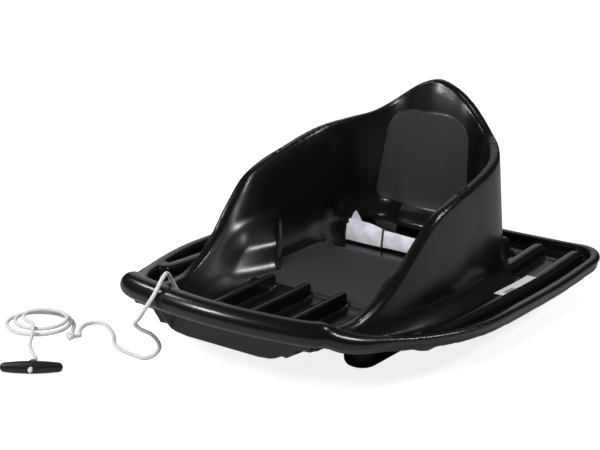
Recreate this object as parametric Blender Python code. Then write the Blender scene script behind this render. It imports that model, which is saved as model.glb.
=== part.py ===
"""Plastic sled with a moulded bucket seat, a pull cord with a T handle and a folded lap belt.

Metres, +Z up, X to the sides, the front lip towards -Y. The ground is z = 0.
"""
import math

import bmesh
import bpy
import numpy as np

# Whole sled
LENGTH = 0.540            # lip to rear edge
WIDTH = 0.466             # widest point of the pan
HEIGHT = 0.2655           # ground to the top of the backrest
GAP = 0.0003              # air between pieces that lie against each other

# Pan, rim and round front lip
LIP_R = 0.0165            # radius of the round front lip
LIP_TOP = 0.1070          # top of the lip above the ground
RIM_TOP = 0.0630          # top of the side rim, amidships
RIM_REAR = 0.0670         # top of the rim at the rear corners
RIM_DIP = 0.0050          # dip of the rear edge in its middle
RIM_BEAD = 0.0105         # width of the bead on top of the rim
RIM_TALL = 0.0165         # height of the rim's outer face
DECK_DROP = 0.0170        # deck below the top of the rim, amidships
DECK_RISE = 0.0310        # how much the deck climbs towards the front
DECK_SKIN = 0.0050        # thickness of the deck
CORNER_FRONT_R = 0.055    # plan radius of the front corners
CORNER_REAR_R = 0.042     # plan radius of the rear corners

# Bucket seat
SEAT_HALF = 0.1410        # half width over the rim's centre line
RIM_BAND = 0.0130         # thickness of the seat wall at its flat top
SEAT_MID = 0.0600         # y where the side walls give way to the rounded back
SEAT_DRAFT = 0.0090       # how far the outer wall spreads on its way down
FLARE = 0.0160            # outward flare of the wall where it meets the deck
FLARE_TALL = 0.0280
CORNER = 0.0150           # squared rear corners of the wall's foot
CORNER_TALL = 0.0500
FLOOR = 0.0560            # footwell floor above the ground
PLATFORM = 0.0600         # matte seat floor above the ground
GUTTER = 0.0500           # floor of the channel behind the seat floor
PLATFORM_REAR = 0.0950    # y of the rear edge of the seat floor
SIDE_LEAN = 0.0320        # how far the side walls come in at the floor
BACK_LEAN = 0.0400        # how far the back wall comes in at the floor
BOLSTER = 0.0130          # bulge beside the hips
LUMBAR = 0.0110           # roll across the bottom of the backrest
NOTCH_Y = 0.0500          # small slots in the top of the seat rim

# Ribs
RIB_PITCH = 0.0534        # footwell ribs, centre to centre
RIB_W = 0.0100
RIB_TOP = 0.0740
DECK_RIB_IN = 0.0420      # outermost deck rib, in from the widest point
DECK_RIB_PITCH = 0.0520
DECK_RIB_W = 0.0210
DECK_RIB_DROP = 0.0015    # deck ribs below the top of the rim

# Hull, keel and runners
HULL_FRONT = 0.2375       # front wall of the hull, ahead of the middle
HULL_HALF = 0.0980
HULL_BOTTOM = 0.0340
KEEL_HALF = 0.0530
KEEL_BOTTOM = 0.0120
RUNNER_X = 0.0955         # centre of each side runner
RUNNER_W = 0.0420
RUNNER_FRONT = -0.1150
RUNNER_LENGTH = 0.3000
SKID_X = 0.1550           # small outer skids
SKID_W = 0.0130
SKID_FRONT = 0.0420
SKID_LENGTH = 0.0700

# Pull cord and handle
CORD_D = 0.0048
CORD_X = -0.0780          # hole behind the lip
CORD_Y = -0.2060
CORD_PLAY = 0.0008        # air round the cord in a hole
HANK_TURNS = 2.61
HANK_R = 0.0460           # outer loop
HANK_IN = 0.0260          # inner loop
HANK_X = -0.2940
HANK_Y = -0.2370
HANDLE_X = -0.1995
HANDLE_Y = -0.3450
HANDLE_TURN = 36.0        # degrees
HANDLE_LENGTH = 0.0740
HANDLE_R = 0.0077
HANDLE_END_R = 0.0052
BOSS_R = 0.0056
KNOT_R = 0.0050

# Lap belt, folded into a bundle in the channel
WEB_W = 0.0250
WEB_T = 0.0014
WEB_AIR = 0.0005          # air between folds
FOLD_LAYERS = 6
BUNDLE_X = -0.0300        # middle of the bundle
BUNDLE_LENGTH = 0.1240
BUNDLE_AHEAD = 0.08325    # front face of the bundle ahead of the backrest
BUNDLE_LEAN = 9.0         # degrees back
FREE_IN = 0.0915          # loose end of the webbing, in from the seat rim
BAND_W = 0.0025
BAND_T = 0.0008
BAND_X = -0.0320
SLOT_X = 0.0560           # belt slots in the foot of the backrest
SLOT_DEEP = 0.0140
BUCKLE_L = 0.0420
BUCKLE_W = 0.0300
BUCKLE_T = 0.0085

# Label
LABEL_W = 0.0125
LABEL_IN = 0.0030         # towards the seat from the rib's middle
LABEL_L = 0.0800
LABEL_T = 0.0004
LABEL_Y = 0.0980

for item in list(bpy.data.objects):
    bpy.data.objects.remove(item, do_unlink=True)

# Hull stations: place along the sled, width, depth and run of its rounded sides
HULL_SHAPE = ((-0.900, 0.82, 0.40, 0.022), (-0.858, 0.835, 0.45, 0.022), (-0.80, 0.85, 0.62, 0.026),
              (-0.70, 0.88, 0.88, 0.034), (-0.60, 0.92, 1.0, 0.038), (-0.42, 1.0, 1.0, 0.027),
              (0.74, 1.0, 1.0, 0.027), (0.79, 0.98, 0.9, 0.026), (0.82, 0.93, 0.6, 0.024))

HALF_L = LENGTH / 2
CORNER_CARE = 0.10        # metres of extra fineness per radian of corner
HALF_W = WIDTH / 2
DECK_RIB_X = HALF_W - DECK_RIB_IN
BUNDLE_Y = 0.7935 * HALF_L - BUNDLE_AHEAD


def smooth(a, b, v):
    t = min(1.0, max(0.0, (v - a) / (b - a)))
    return t * t * (3 - 2 * t)


def blend(keys, v):
    """Smooth curve through (position, value) keys."""
    xs = [k[0] for k in keys]
    ys = [k[1] for k in keys]
    n = len(keys)
    if v <= xs[0]:
        return ys[0]
    if v >= xs[-1]:
        return ys[-1]
    d = [(ys[i + 1] - ys[i]) / (xs[i + 1] - xs[i]) for i in range(n - 1)]
    m = [d[0]]
    for i in range(1, n - 1):
        m.append(0.0 if d[i - 1] * d[i] <= 0 else 2 * d[i - 1] * d[i] / (d[i - 1] + d[i]))
    m.append(d[-1])
    i = max(k for k in range(n - 1) if xs[k] <= v)
    h = xs[i + 1] - xs[i]
    t = (v - xs[i]) / h
    return ((2 * t**3 - 3 * t**2 + 1) * ys[i] + (t**3 - 2 * t**2 + t) * h * m[i]
            + (3 * t**2 - 2 * t**3) * ys[i + 1] + (t**3 - t**2) * h * m[i + 1])


def through(points, count):
    """Evenly spaced points on a smooth curve through the given points."""
    p = np.array(points, float)
    p = np.vstack([2 * p[0] - p[1], p, 2 * p[-1] - p[-2]])
    out = []
    for i in range(1, len(p) - 2):
        a, b, c, d = p[i - 1], p[i], p[i + 1], p[i + 2]
        t0 = 0.0
        t1 = t0 + max(1e-9, np.linalg.norm(b - a)) ** 0.5
        t2 = t1 + max(1e-9, np.linalg.norm(c - b)) ** 0.5
        t3 = t2 + max(1e-9, np.linalg.norm(d - c)) ** 0.5
        for t in np.linspace(t1, t2, 24, endpoint=False):
            a1 = (t1 - t) / (t1 - t0) * a + (t - t0) / (t1 - t0) * b
            a2 = (t2 - t) / (t2 - t1) * b + (t - t1) / (t2 - t1) * c
            a3 = (t3 - t) / (t3 - t2) * c + (t - t2) / (t3 - t2) * d
            b1 = (t2 - t) / (t2 - t0) * a1 + (t - t0) / (t2 - t0) * a2
            b2 = (t3 - t) / (t3 - t1) * a2 + (t - t1) / (t3 - t1) * a3
            out.append((t2 - t) / (t2 - t1) * b1 + (t - t1) / (t2 - t1) * b2)
    out.append(p[-2])
    out = np.array(out)
    s = np.r_[0, np.cumsum(np.linalg.norm(np.diff(out, axis=0), axis=1))]
    w = np.linspace(0, s[-1], count)
    return np.stack([np.interp(w, s, out[:, k]) for k in range(out.shape[1])], 1)


def material(name, color, rough):
    m = bpy.data.materials.new(name)
    m.use_nodes = True
    b = m.node_tree.nodes["Principled BSDF"]
    b.inputs["Base Color"].default_value = (*color, 1)
    b.inputs["Roughness"].default_value = rough
    return m


def solid(name, verts, faces, mat=None):
    mesh = bpy.data.meshes.new(name)
    mesh.from_pydata([tuple(map(float, v)) for v in verts], [], faces)
    b = bmesh.new()
    b.from_mesh(mesh)
    bmesh.ops.remove_doubles(b, verts=b.verts, dist=0.000001)
    bmesh.ops.recalc_face_normals(b, faces=b.faces)
    if b.calc_volume(signed=True) < 0:
        bmesh.ops.reverse_faces(b, faces=b.faces)
    b.to_mesh(mesh)
    b.free()
    ob = bpy.data.objects.new(name, mesh)
    bpy.context.scene.collection.objects.link(ob)
    if mat is not None:
        mesh.materials.append(mat)
    return ob


def loft(name, rings, mat=None, around=False):
    """Closed body through rings of equal count; with around the last ring meets the first."""
    n = len(rings[0])
    verts = [v for ring in rings for v in ring]
    faces = []
    for i in range(len(rings) if around else len(rings) - 1):
        k = (i + 1) % len(rings)
        for j in range(n):
            m = (j + 1) % n
            faces.append((i * n + j, i * n + m, k * n + m, k * n + j))
    if not around:
        faces.append(tuple(range(n)))
        faces.append(tuple((len(rings) - 1) * n + j for j in range(n)))
    return solid(name, verts, faces, mat)


def combine(body, other, how):
    """Join another body to this one, or cut it away."""
    mod = body.modifiers.new(how, "BOOLEAN")
    mod.operation = how
    mod.solver = "EXACT"
    mod.object = other
    bpy.context.view_layer.objects.active = body
    bpy.ops.object.modifier_apply(modifier=mod.name)
    bpy.data.objects.remove(other, do_unlink=True)
    return body


def box(name, low, high, mat=None):
    x0, y0, z0 = low
    x1, y1, z1 = high
    a = [(x0, y0, z0), (x1, y0, z0), (x1, y1, z0), (x0, y1, z0)]
    return loft(name, [a, [(x, y, z1) for x, y, _ in a]], mat)


# Outline of the pan in plan

def rounded_outline(corners, steps=7):
    """Polygon (x, y, radius) with an arc of the given number of steps in each corner."""
    pts = []
    n = len(corners)
    for i in range(n):
        a, b, c = (np.array(corners[(i + k) % n][:2]) for k in (-1, 0, 1))
        r = corners[i][2]
        u = (a - b) / np.linalg.norm(a - b)
        v = (c - b) / np.linalg.norm(c - b)
        half = math.acos(max(-1, min(1, float(u @ v)))) / 2
        if r <= 0 or half > 1.565:
            pts.append(b)
            continue
        t = min(r / math.tan(half), 0.48 * np.linalg.norm(a - b), 0.48 * np.linalg.norm(c - b))
        r = t * math.tan(half)
        mid = b + (u + v) / np.linalg.norm(u + v) * r / math.sin(half)
        p, q = b + u * t - mid, b + v * t - mid
        a0 = math.atan2(p[1], p[0])
        turn = math.atan2(p[0] * q[1] - p[1] * q[0], float(p @ q))
        for k in range(steps + 1):
            w = a0 + turn * k / steps
            pts.append(mid + r * np.array([math.cos(w), math.sin(w)]))
    return np.array(pts)


def pan_outline(half_count):
    """Right half from the middle of the lip to the middle of the rear edge."""
    right = [(0.0, -HALF_L, 0.5), (0.644 * HALF_W, -0.919 * HALF_L, CORNER_FRONT_R),
             (HALF_W, -0.23 * HALF_L, 0.30), (0.982 * HALF_W, 0.985 * HALF_L, CORNER_REAR_R),
             (0.0, HALF_L, 0.5)]
    left = [(-x, y, r) for x, y, r in right[-2:0:-1]]
    pts = rounded_outline(right + left, 24)
    i = int(np.argmin(np.abs(pts[:, 0]) + (pts[:, 1] > 0)))
    pts = np.roll(pts, -i, axis=0)
    half = [p for p in pts if p[0] > 1e-6]
    half = [(0.0, half[0][1])] + half + [(0.0, HALF_L)]
    p = np.array(half)
    step = np.diff(p, axis=0)
    size = np.linalg.norm(step, axis=1)
    p, step, size = p[np.r_[True, size > 1e-7]], step[size > 1e-7], size[size > 1e-7]
    way = np.unwrap(np.arctan2(step[:, 1], step[:, 0]))
    bend = np.abs(np.diff(way))
    s = np.r_[0, np.cumsum(size + 0.5 * CORNER_CARE * (np.r_[0, bend] + np.r_[bend, 0]))]
    w = np.linspace(0, s[-1], half_count + 1)
    p = np.stack([np.interp(w, s, p[:, 0]), np.interp(w, s, p[:, 1])], 1)
    p[:, 0] *= HALF_W / p[:, 0].max()
    p[:, 1] *= np.where(p[:, 1] < 0, -HALF_L / p[:, 1].min(), HALF_L / p[:, 1].max())
    return p


def rim_top(y):
    y = y / HALF_L
    return blend([(-1.0, LIP_TOP), (-0.90, LIP_TOP - 0.001), (-0.82, RIM_TOP + 0.033),
                  (-0.74, RIM_TOP + 0.020), (-0.61, RIM_TOP + 0.009), (-0.48, RIM_TOP + 0.004),
                  (0.0, RIM_TOP), (0.48, RIM_TOP - 0.003), (1.0, RIM_REAR)], y)


def deck(y):
    base = RIM_TOP - DECK_DROP
    return base + blend([(-0.90, DECK_RISE), (-0.80, 0.72 * DECK_RISE), (-0.74, 0.52 * DECK_RISE),
                         (-0.61, 0.22 * DECK_RISE), (-0.48, 0.10 * DECK_RISE),
                         (0.0, 0.0), (0.48, -0.0025), (1.0, RIM_REAR - RIM_TOP)], y / HALF_L)


def rim_profile(x, y, share):
    """Points (inset, z) from the deck over the rim to the underside; share 1 is the round lip."""
    top = rim_top(y) - RIM_DIP * max(0.0, 1 - (1.1 * x / HALF_W) ** 2) * smooth(0.85, 0.97, y / HALF_L)
    d = deck(y)
    under = d - DECK_SKIN
    side = [(0.034, d), (RIM_BEAD + 0.008, d), (RIM_BEAD + 0.0045, d + 0.0020),
            (RIM_BEAD + 0.0025, top - 0.0030), (RIM_BEAD + 0.0005, top - 0.0006),
            (RIM_BEAD - 0.003, top), (0.0030, top - 0.0002), (0.0008, top - 0.0015),
            (0.0, top - 0.0040), (0.0003, top - 0.0070), (0.0028, top - 0.0085),
            (0.0026, top - RIM_TALL + 0.0015), (0.0038, top - RIM_TALL),
            (0.0120, top - RIM_TALL), (0.0200, under), (0.034, under)]
    mid = top - LIP_R
    ring = [(LIP_R + LIP_R * math.cos(a), mid + LIP_R * math.sin(a))
            for a in (math.radians(v) for v in (-32, 0, 32, 62, 90, 120, 150, 180, 210, 240, 270, 300))]
    lip = [(0.040, d), (0.0362, d + 0.004)] + ring + [(0.0310, under + 0.004), (0.040, under)]
    return [((1 - share) * a[0] + share * b[0], (1 - share) * a[1] + share * b[1])
            for a, b in zip(side, lip)]


def pan_body(half_count=46):
    half = pan_outline(half_count)
    full = np.vstack([half, half[-2:0:-1] * [-1, 1]])
    n = len(full)
    nxt, prv = np.roll(full, -1, axis=0), np.roll(full, 1, axis=0)
    t = nxt - prv
    t /= np.linalg.norm(t, axis=1)[:, None]
    inward = np.stack([-t[:, 1], t[:, 0]], 1)
    rings = []
    for p, q in zip(full, inward):
        share = 1 - smooth(-0.87 * HALF_L, -0.56 * HALF_L, p[1])
        rings.append([(p[0] + q[0] * d, p[1] + q[1] * d, z) for d, z in rim_profile(p[0], p[1], share)])
    m = len(rings[0])
    verts = [v for r in rings for v in r]
    faces = []
    for i in range(n):
        k = (i + 1) % n
        for j in range(m - 1):
            faces.append((i * m + j, i * m + j + 1, k * m + j + 1, k * m + j))
    for j in (0, m - 1):
        for i in range(n // 2):
            a, b = i, i + 1
            c, d = (n - b) % n, (n - a) % n
            quad = [v * m + j for v in (a, b, c, d)]
            quad = [v for k, v in enumerate(quad) if v not in quad[:k]]
            faces.append(tuple(quad))
    return solid("pan", verts, faces)


# Bucket seat wall along its rim curve

def seat_rim(count):
    """Centre line of the seat rim, right front over the back to the left front."""
    w = SEAT_HALF
    h = HEIGHT
    right = [(0.823 * w, -0.880, 0.0870), (0.862 * w, -0.740, 0.0840), (0.895 * w, -0.567, 0.0815),
             (0.922 * w, -0.426, 0.0930), (0.950 * w, -0.307, 0.425 * h), (0.975 * w, -0.185, 0.531 * h),
             (0.990 * w, -0.056, 0.629 * h), (1.0 * w, 0.100, 0.678 * h), (0.990 * w, 0.244, 0.703 * h),
             (0.972 * w, 0.385, 0.731 * h), (0.915 * w, 0.511, 0.757 * h), (0.759 * w, 0.641, 0.784 * h),
             (0.631 * w, 0.707, 0.806 * h), (0.489 * w, 0.755, 0.855 * h), (0.340 * w, 0.783, 0.917 * h),
             (0.177 * w, 0.792, 0.972 * h)]
    right = [(x, y * HALF_L, z) for x, y, z in right]
    peak = [(0.0, 0.7935 * HALF_L, h)]
    left = [(-x, y, z) for x, y, z in right[::-1]]
    return through(right + peak + left, count)


def inner_offset(p, out, z, top):
    """How far the inner wall lies inside the rim's inner edge at height z."""
    side, back = abs(out[0]), max(0.0, out[1])
    reach = 1 - (z - FLOOR) / 0.016
    y = p[1] / HALF_L
    t = min(1.0, max(0.0, (top - z) / (top - FLOOR)))
    lean = SIDE_LEAN * (0.62 + 0.38 * smooth(-0.60, -0.20, y)) * side**4 + BACK_LEAN * back**4
    hip = BOLSTER * side**2 * smooth(0.122, 0.092, z) * smooth(-0.42, -0.20, y)
    hip *= 1 - smooth(0.06, 0.24, y)
    roll = LUMBAR * back**2 * math.exp(-((z - 0.084) / 0.016) ** 2) * (1 - smooth(0.45, 0.75, abs(p[0]) / SEAT_HALF))
    foot = 0.0060 * min(1.0, max(0.0, reach)) ** 2
    return lean * t**0.85 + hip + roll + foot


def seat_section(p, out):
    """Ring of the seat wall in the upright plane across the rim curve."""
    half = RIM_BAND / 2
    top = p[2]
    d = min(deck(p[1]), top - 0.0150)
    base = min(d, FLOOR) - 0.5 * DECK_SKIN
    foot = max(GUTTER, base + 0.0015)
    ring = []
    tall = min(FLARE_TALL, 0.8 * (top - 0.0050 - d))
    fl = FLARE * tall / FLARE_TALL * (0.35 + 0.65 * smooth(-0.75, -0.20, p[1] / HALF_L))
    turn = math.degrees(math.atan2(out[1], abs(out[0])))
    square = CORNER * math.exp(-((turn - 52) / 15) ** 2) if p[1] > 0 else 0.0

    def outer(z):
        flare = fl * max(0.0, 1 - (z - d) / tall) ** 2.2
        flare += square * max(0.0, 1 - (z - d) / CORNER_TALL)
        return half + SEAT_DRAFT * (top - z) / (top - d) + flare

    ring.append((outer(d), d - 0.4 * DECK_SKIN))
    for k in (0.0, 0.12, 0.28, 0.5, 0.8):
        z = d + tall * k
        ring.append((outer(z), z))
    for k in (0.25, 0.6, 0.88):
        z = d + tall + (top - 0.0040 - d - tall) * k
        ring.append((outer(z), z))
    ring += [(half, top - 0.0034), (half - 0.0010, top - 0.0010), (half - 0.0034, top),
             (-half + 0.0026, top), (-half + 0.0007, top - 0.0008), (-half, top - 0.0028)]
    for k in (0.10, 0.26, 0.42, 0.55, 0.66, 0.76, 0.85, 0.93, 1.0):
        z = top - 0.0028 - (top - 0.0028 - foot) * k
        ring.append((-half, z))
    ring.append((-half, base))
    wide = (p[0], max(0.0, p[1] - SEAT_MID))
    size = math.hypot(*wide)
    toward = (-wide[0] / size, -wide[1] / size)
    out3 = []
    for i, (o, z) in enumerate(ring):
        a = inner_offset(p, out, max(z, GUTTER), top - 0.0028) if i > 14 else 0.0
        out3.append((p[0] + out[0] * o + toward[0] * a, p[1] + out[1] * o + toward[1] * a, z))
    return out3


def seat_wall(count=73):
    curve = seat_rim(count)
    t = np.gradient(curve[:, :2], axis=0)
    t /= np.linalg.norm(t, axis=1)[:, None]
    rings = [seat_section(p, (q[1], -q[0])) for p, q in zip(curve, t)]
    return loft("seat wall", rings)


def tub_floor():
    """Footwell, seat floor and the channel behind it."""
    f, p, g = FLOOR, PLATFORM, GUTTER
    rear = PLATFORM_REAR
    wall = deck(-HALF_L) + 0.0025
    keys = [(-0.882 * HALF_L, wall), (-0.864 * HALF_L, wall), (-0.862 * HALF_L, f + 0.004), (-0.855 * HALF_L, f),
            (-0.77 * HALF_L, f), (-0.65 * HALF_L, f), (-0.33 * HALF_L, f), (-0.30 * HALF_L, f + 0.3 * (p - f)),
            (-0.26 * HALF_L, p), (rear - 0.010, p), (rear - 0.004, p - 0.0012), (rear, p - 0.0040),
            (rear + 0.002, g + 0.0030), (rear + 0.006, g), (0.63 * HALF_L, g)]
    rings = []
    for y, z in keys:
        w = SEAT_HALF * (0.60 + 0.20 * smooth(-0.75, -0.2, y / HALF_L))
        top_w = 0.745 * SEAT_HALF if z > f + 0.002 and y < -0.5 * HALF_L else w + 0.002
        low = f - 0.003 - (f - 0.003 - HULL_BOTTOM - 0.003) * smooth(-0.76, -0.66, y / HALF_L)
        w -= 0.006
        rings.append([(-w, y, low), (w, y, low), (top_w, y, z), (-top_w, y, z)])
    return loft("tub floor", rings)


def bar(name, x, y0, y1, width, low, top, rise=None, mat=None, nose=True):
    """Long rib with a rounded top and rounded ends."""
    r = width / 2
    rings = []
    ys = [(y0, 1.0), (y1 - 1.0 * r, 1.0), (y1 - 0.5 * r, 0.86), (y1 - 0.13 * r, 0.5), (y1, 0.16)]
    inner = np.linspace(y0, y1 - r, 7)[1:-1]
    ys = ys[:1] + [(v, 1.0) for v in inner] + ys[1:]
    if nose:
        ys = [(y0, 0.16), (y0 + 0.13 * r, 0.5), (y0 + 0.5 * r, 0.86), (y0 + r, 1.0)] + [
            v for v in ys if v[0] > y0 + 1.2 * r]
    for y, k in ys:
        t = top + (rise(y) if rise else 0.0)
        w = r * k
        drop = 0.0035 * (1 - k)
        e = min(0.42 * w, 0.0025)
        b = low(y)
        rings.append([(x - w, y, b), (x + w, y, b), (x + w * 0.97, y, t - 0.0035 - drop),
                      (x + w * 0.97 - 0.35 * e, y, t - 0.0011 - drop), (x + w * 0.97 - e, y, t - drop),
                      (x - w * 0.97 + e, y, t - drop), (x - w * 0.97 + 0.35 * e, y, t - 0.0011 - drop),
                      (x - w * 0.97, y, t - 0.0035 - drop)])
    return loft(name, rings, mat)


def hull():
    """Closed belly under the footwell and seat, shallow at the lip and deeper behind it."""
    rings = []
    for y, wide, deep, slope in HULL_SHAPE:
        w = HULL_HALF * wide
        top = FLOOR - 0.0015 - 0.0115 * smooth(-0.6, -0.4, y)
        h = (top - HULL_BOTTOM) * deep
        right = [(w, top), (w - 0.04 * slope, top - 0.30 * h), (w - 0.24 * slope, top - 0.64 * h),
                 (w - 0.60 * slope, top - 0.91 * h), (w - slope, top - h)]
        y = max(y * HALF_L, -HULL_FRONT)
        rings.append([(x, y, z) for x, z in right] + [(-x, y, z) for x, z in right[::-1]])
    return loft("hull", rings)


def keel():
    """Rounded central runner."""
    low = HULL_BOTTOM + 0.004
    keys = [(-0.188, 0.30), (-0.176, 0.62), (-0.158, 0.90), (-0.138, 1.0), (-0.080, 1.0),
            (0.100, 1.0), (0.150, 0.96), (0.175, 0.75), (0.188, 0.40)]
    rings = []
    for y, k in keys:
        w = KEEL_HALF * (0.55 + 0.45 * k)
        depth = (low - KEEL_BOTTOM) * k
        ring = [(w * math.cos(a), y, low - depth * math.sin(a) ** 0.8)
                for a in np.linspace(0, math.pi, 13)]
        rings.append([(w, y, low + 0.004)] + ring + [(-w, y, low + 0.004)])
    return loft("keel", rings)


def runner(x, width, y0, length, nose, top, r=0.0075):
    """Straight runner with a flat sole, a rounded nose and rounded lower edges."""
    rings = []
    for inset, z in ((0.0, top), (0.0, r), (0.12 * r, 0.55 * r), (0.4 * r, 0.18 * r), (0.85 * r, 0.0)):
        w = width / 2 - inset
        a, b = y0 + inset, y0 + length - inset
        pts = rounded_outline([(x - w, a, nose), (x + w, a, nose), (x + w, b, 0.6 * nose),
                               (x - w, b, 0.6 * nose)])
        rings.append([(p, q, z) for p, q in pts])
    return loft("runner", rings)


def cutter_bar(x, y, z0, z1, r):
    ring = [(x + r * math.cos(a), y + r * math.sin(a)) for a in np.linspace(0, 2 * math.pi, 20)[:-1]]
    return loft("cutter", [[(p, q, z) for p, q in ring] for z in (z0, z1)])


# Whole shell

BLACK = material("black_plastic", (0.012, 0.012, 0.013), 0.28)
WHITE_CORD = material("white_cord", (0.80, 0.80, 0.79), 0.8)
WEBBING = material("pale_webbing", (0.62, 0.61, 0.68), 0.85)
ELASTIC = material("dark_elastic", (0.03, 0.03, 0.035), 0.7)
TOUGH = material("black_fittings", (0.015, 0.015, 0.016), 0.45)
PAPER = material("white_label", (0.82, 0.82, 0.82), 0.5)

shell = pan_body()
tub = box("tub cutter", (-0.71 * SEAT_HALF, -0.865 * HALF_L, FLOOR - 0.002),
          (0.71 * SEAT_HALF, -0.20 * HALF_L, LIP_TOP))
shell = combine(shell, tub, "DIFFERENCE")
shell = combine(shell, hull(), "UNION")
shell = combine(shell, tub_floor(), "UNION")
for k in (-1, 0, 1):
    rib = bar("rib", k * RIB_PITCH, -0.872 * HALF_L, -0.255 * HALF_L, RIB_W,
              lambda y: FLOOR - 0.002, RIB_TOP, nose=False)
    shell = combine(shell, rib, "UNION")
for side in (-1, 1):
    for k, start in ((0, -0.46), (1, -0.22), (2, 0.60)):
        x = side * (DECK_RIB_X - k * DECK_RIB_PITCH)
        rib = bar("deck rib", x, start * HALF_L, HALF_L - 0.010 - k * 0.003, DECK_RIB_W,
                  lambda y: deck(y) - 0.004, 0.0, rise=lambda y: rim_top(y) - DECK_RIB_DROP)
        shell = combine(shell, rib, "UNION")
shell = combine(shell, seat_wall(), "UNION")
shell = combine(shell, keel(), "UNION")
for side in (-1, 1):
    foot = runner(side * RUNNER_X, RUNNER_W, RUNNER_FRONT, RUNNER_LENGTH, 0.019,
                  HULL_BOTTOM + 0.012)
    shell = combine(shell, foot, "UNION")
    skid = runner(side * SKID_X, SKID_W, SKID_FRONT, SKID_LENGTH, 0.005,
                  deck(0) - 0.6 * DECK_SKIN, 0.005)
    shell = combine(shell, skid, "UNION")
hole = cutter_bar(CORD_X, CORD_Y, -0.01, FLOOR + 0.02, CORD_D / 2 + CORD_PLAY)
shell = combine(shell, hole, "DIFFERENCE")
hole = cutter_bar(CORD_X, CORD_Y, -0.01, FLOOR - 0.0060, KNOT_R + 0.001)
shell = combine(shell, hole, "DIFFERENCE")
SLOT_Z = GUTTER + 0.0105
for side in (-1, 1):
    slot = box("slot", (side * SLOT_X - WEB_W / 2 - 0.0015, BUNDLE_Y - 0.006, SLOT_Z - WEB_T / 2 - GAP),
               (side * SLOT_X + WEB_W / 2 + 0.0015, BUNDLE_Y + 0.027 + SLOT_DEEP, SLOT_Z + 0.0025))
    shell = combine(shell, slot, "DIFFERENCE")
for side in (-1, 1):
    z = 0.678 * HEIGHT
    notch = box("notch", (side * 0.990 * SEAT_HALF - 0.0017, NOTCH_Y - 0.011, z),
                (side * 0.990 * SEAT_HALF + 0.0017, NOTCH_Y + 0.011, z + 0.02))
    shell = combine(shell, notch, "DIFFERENCE")
shell.name = "sled_shell"
shell.data.materials.append(BLACK)


# Pull cord, lead, hank and tail

def cord(name, points, count, turns_fine=2):
    pts = through(points, count) if count else np.array(points)
    data = bpy.data.curves.new(name, "CURVE")
    data.dimensions = "3D"
    data.bevel_depth = CORD_D / 2
    data.bevel_resolution = turns_fine
    data.use_fill_caps = True
    line = data.splines.new("POLY")
    line.points.add(len(pts) - 1)
    for q, p in zip(line.points, pts):
        q.co = (*map(float, p), 1.0)
    ob = bpy.data.objects.new(name, data)
    bpy.context.scene.collection.objects.link(ob)
    data.materials.append(WHITE_CORD)
    long = float(np.linalg.norm(np.diff(pts, axis=0), axis=1).sum())
    print(name, "length", round(long * 1000, 1), "mm")
    return pts


def lump(name, centre, r, flat=0.85, ridges=3, mat=None):
    """Tied knot as a rounded lump with the turns of the cord showing as ridges."""
    rings = []
    rows, n = 9, 18
    for i in range(rows):
        a = math.pi * (i + 0.5) / rows
        ring = []
        for j in range(n):
            b = 2 * math.pi * j / n
            k = r * (1 - 0.07 * (1 + math.cos(ridges * b + 2.2 * a)) * math.sin(a))
            ring.append((centre[0] + k * math.sin(a) * math.cos(b), centre[1] + k * math.sin(a) * math.sin(b),
                         centre[2] + flat * k * math.cos(a)))
        rings.append(ring)
    return loft(name, rings, mat or WHITE_CORD)


R = CORD_D / 2
LIE = R + 0.0003
POCKET = FLOOR - 0.0060
stop = (CORD_X, CORD_Y, POCKET - GAP - 0.85 * KNOT_R)
lump("cord_stop_knot", stop, KNOT_R)
knot = (HANK_X + 0.0610, HANK_Y - 0.0070, KNOT_R)
front = -HALF_L
lip_y = front + LIP_R
lip_z = LIP_TOP - LIP_R
lead = [(CORD_X, CORD_Y, POCKET), (CORD_X, CORD_Y, FLOOR + 0.004),
        (CORD_X - 0.001, CORD_Y - 0.003, lip_z - 0.014), (CORD_X - 0.004, CORD_Y - 0.011, lip_z),
        (CORD_X - 0.004, CORD_Y - 0.020, LIP_TOP - 0.002), (CORD_X - 0.001, CORD_Y - 0.032, LIP_TOP + 0.0115),
        (CORD_X + 0.003, lip_y + 0.003, LIP_TOP + 0.0100), (CORD_X + 0.003, front + 0.004, lip_z + 0.0110),
        (CORD_X - 0.003, front - 0.005, lip_z - 0.0040), (CORD_X - 0.013, front - 0.006, lip_z - 0.0190),
        (CORD_X - 0.020, front - 0.005, lip_z - 0.0270), (CORD_X - 0.017, front + 0.001, lip_z - 0.0350),
        (CORD_X - 0.012, front + 0.012, lip_z - 0.0430), (CORD_X - 0.014, front + 0.027, lip_z - 0.0585),
        (CORD_X - 0.021, front + 0.037, 0.0180), (CORD_X - 0.032, front + 0.038, 0.0062),
        (-0.119, -0.2375, LIE), (-0.134, -0.2385, LIE), (-0.157, -0.235, LIE), (-0.177, -0.226, LIE),
        (-0.195, -0.208, LIE), (-0.215, -0.193, LIE), (-0.232, -0.185, LIE), (-0.244, -0.188, LIE),
        (-0.2485, -0.198, LIE), (knot[0] - 0.0125, knot[1] + 0.033, LIE),
        (knot[0] - 0.0035, knot[1] + 0.0195, LIE + 0.0003), (knot[0] + 0.0052, knot[1] + 0.0105, KNOT_R - 0.001),
        (knot[0] + 0.6 * (KNOT_R + GAP), knot[1] + 0.8 * (KNOT_R + GAP), KNOT_R)]
cord("pull_cord_lead", lead, 60)
lump("hank_knot", knot, KNOT_R)


def hank(count):
    """Loose oval loops that climb a little, as a hand leaves them on the ground."""
    start = 35.0
    pts = []
    for i in range(count):
        t = i / (count - 1)
        turn = t * HANK_TURNS
        a = math.radians(start + 360 * turn)
        r = HANK_R + (HANK_IN - HANK_R) * t
        shift = 0.62 * (HANK_R - r)
        lift = LIE + (CORD_D + 0.0010) * turn
        x = HANK_X + shift + r * math.cos(a)
        y = HANK_Y + 0.92 * r * math.sin(a)
        pts.append((x, y, lift))
    return np.array(pts)


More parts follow.
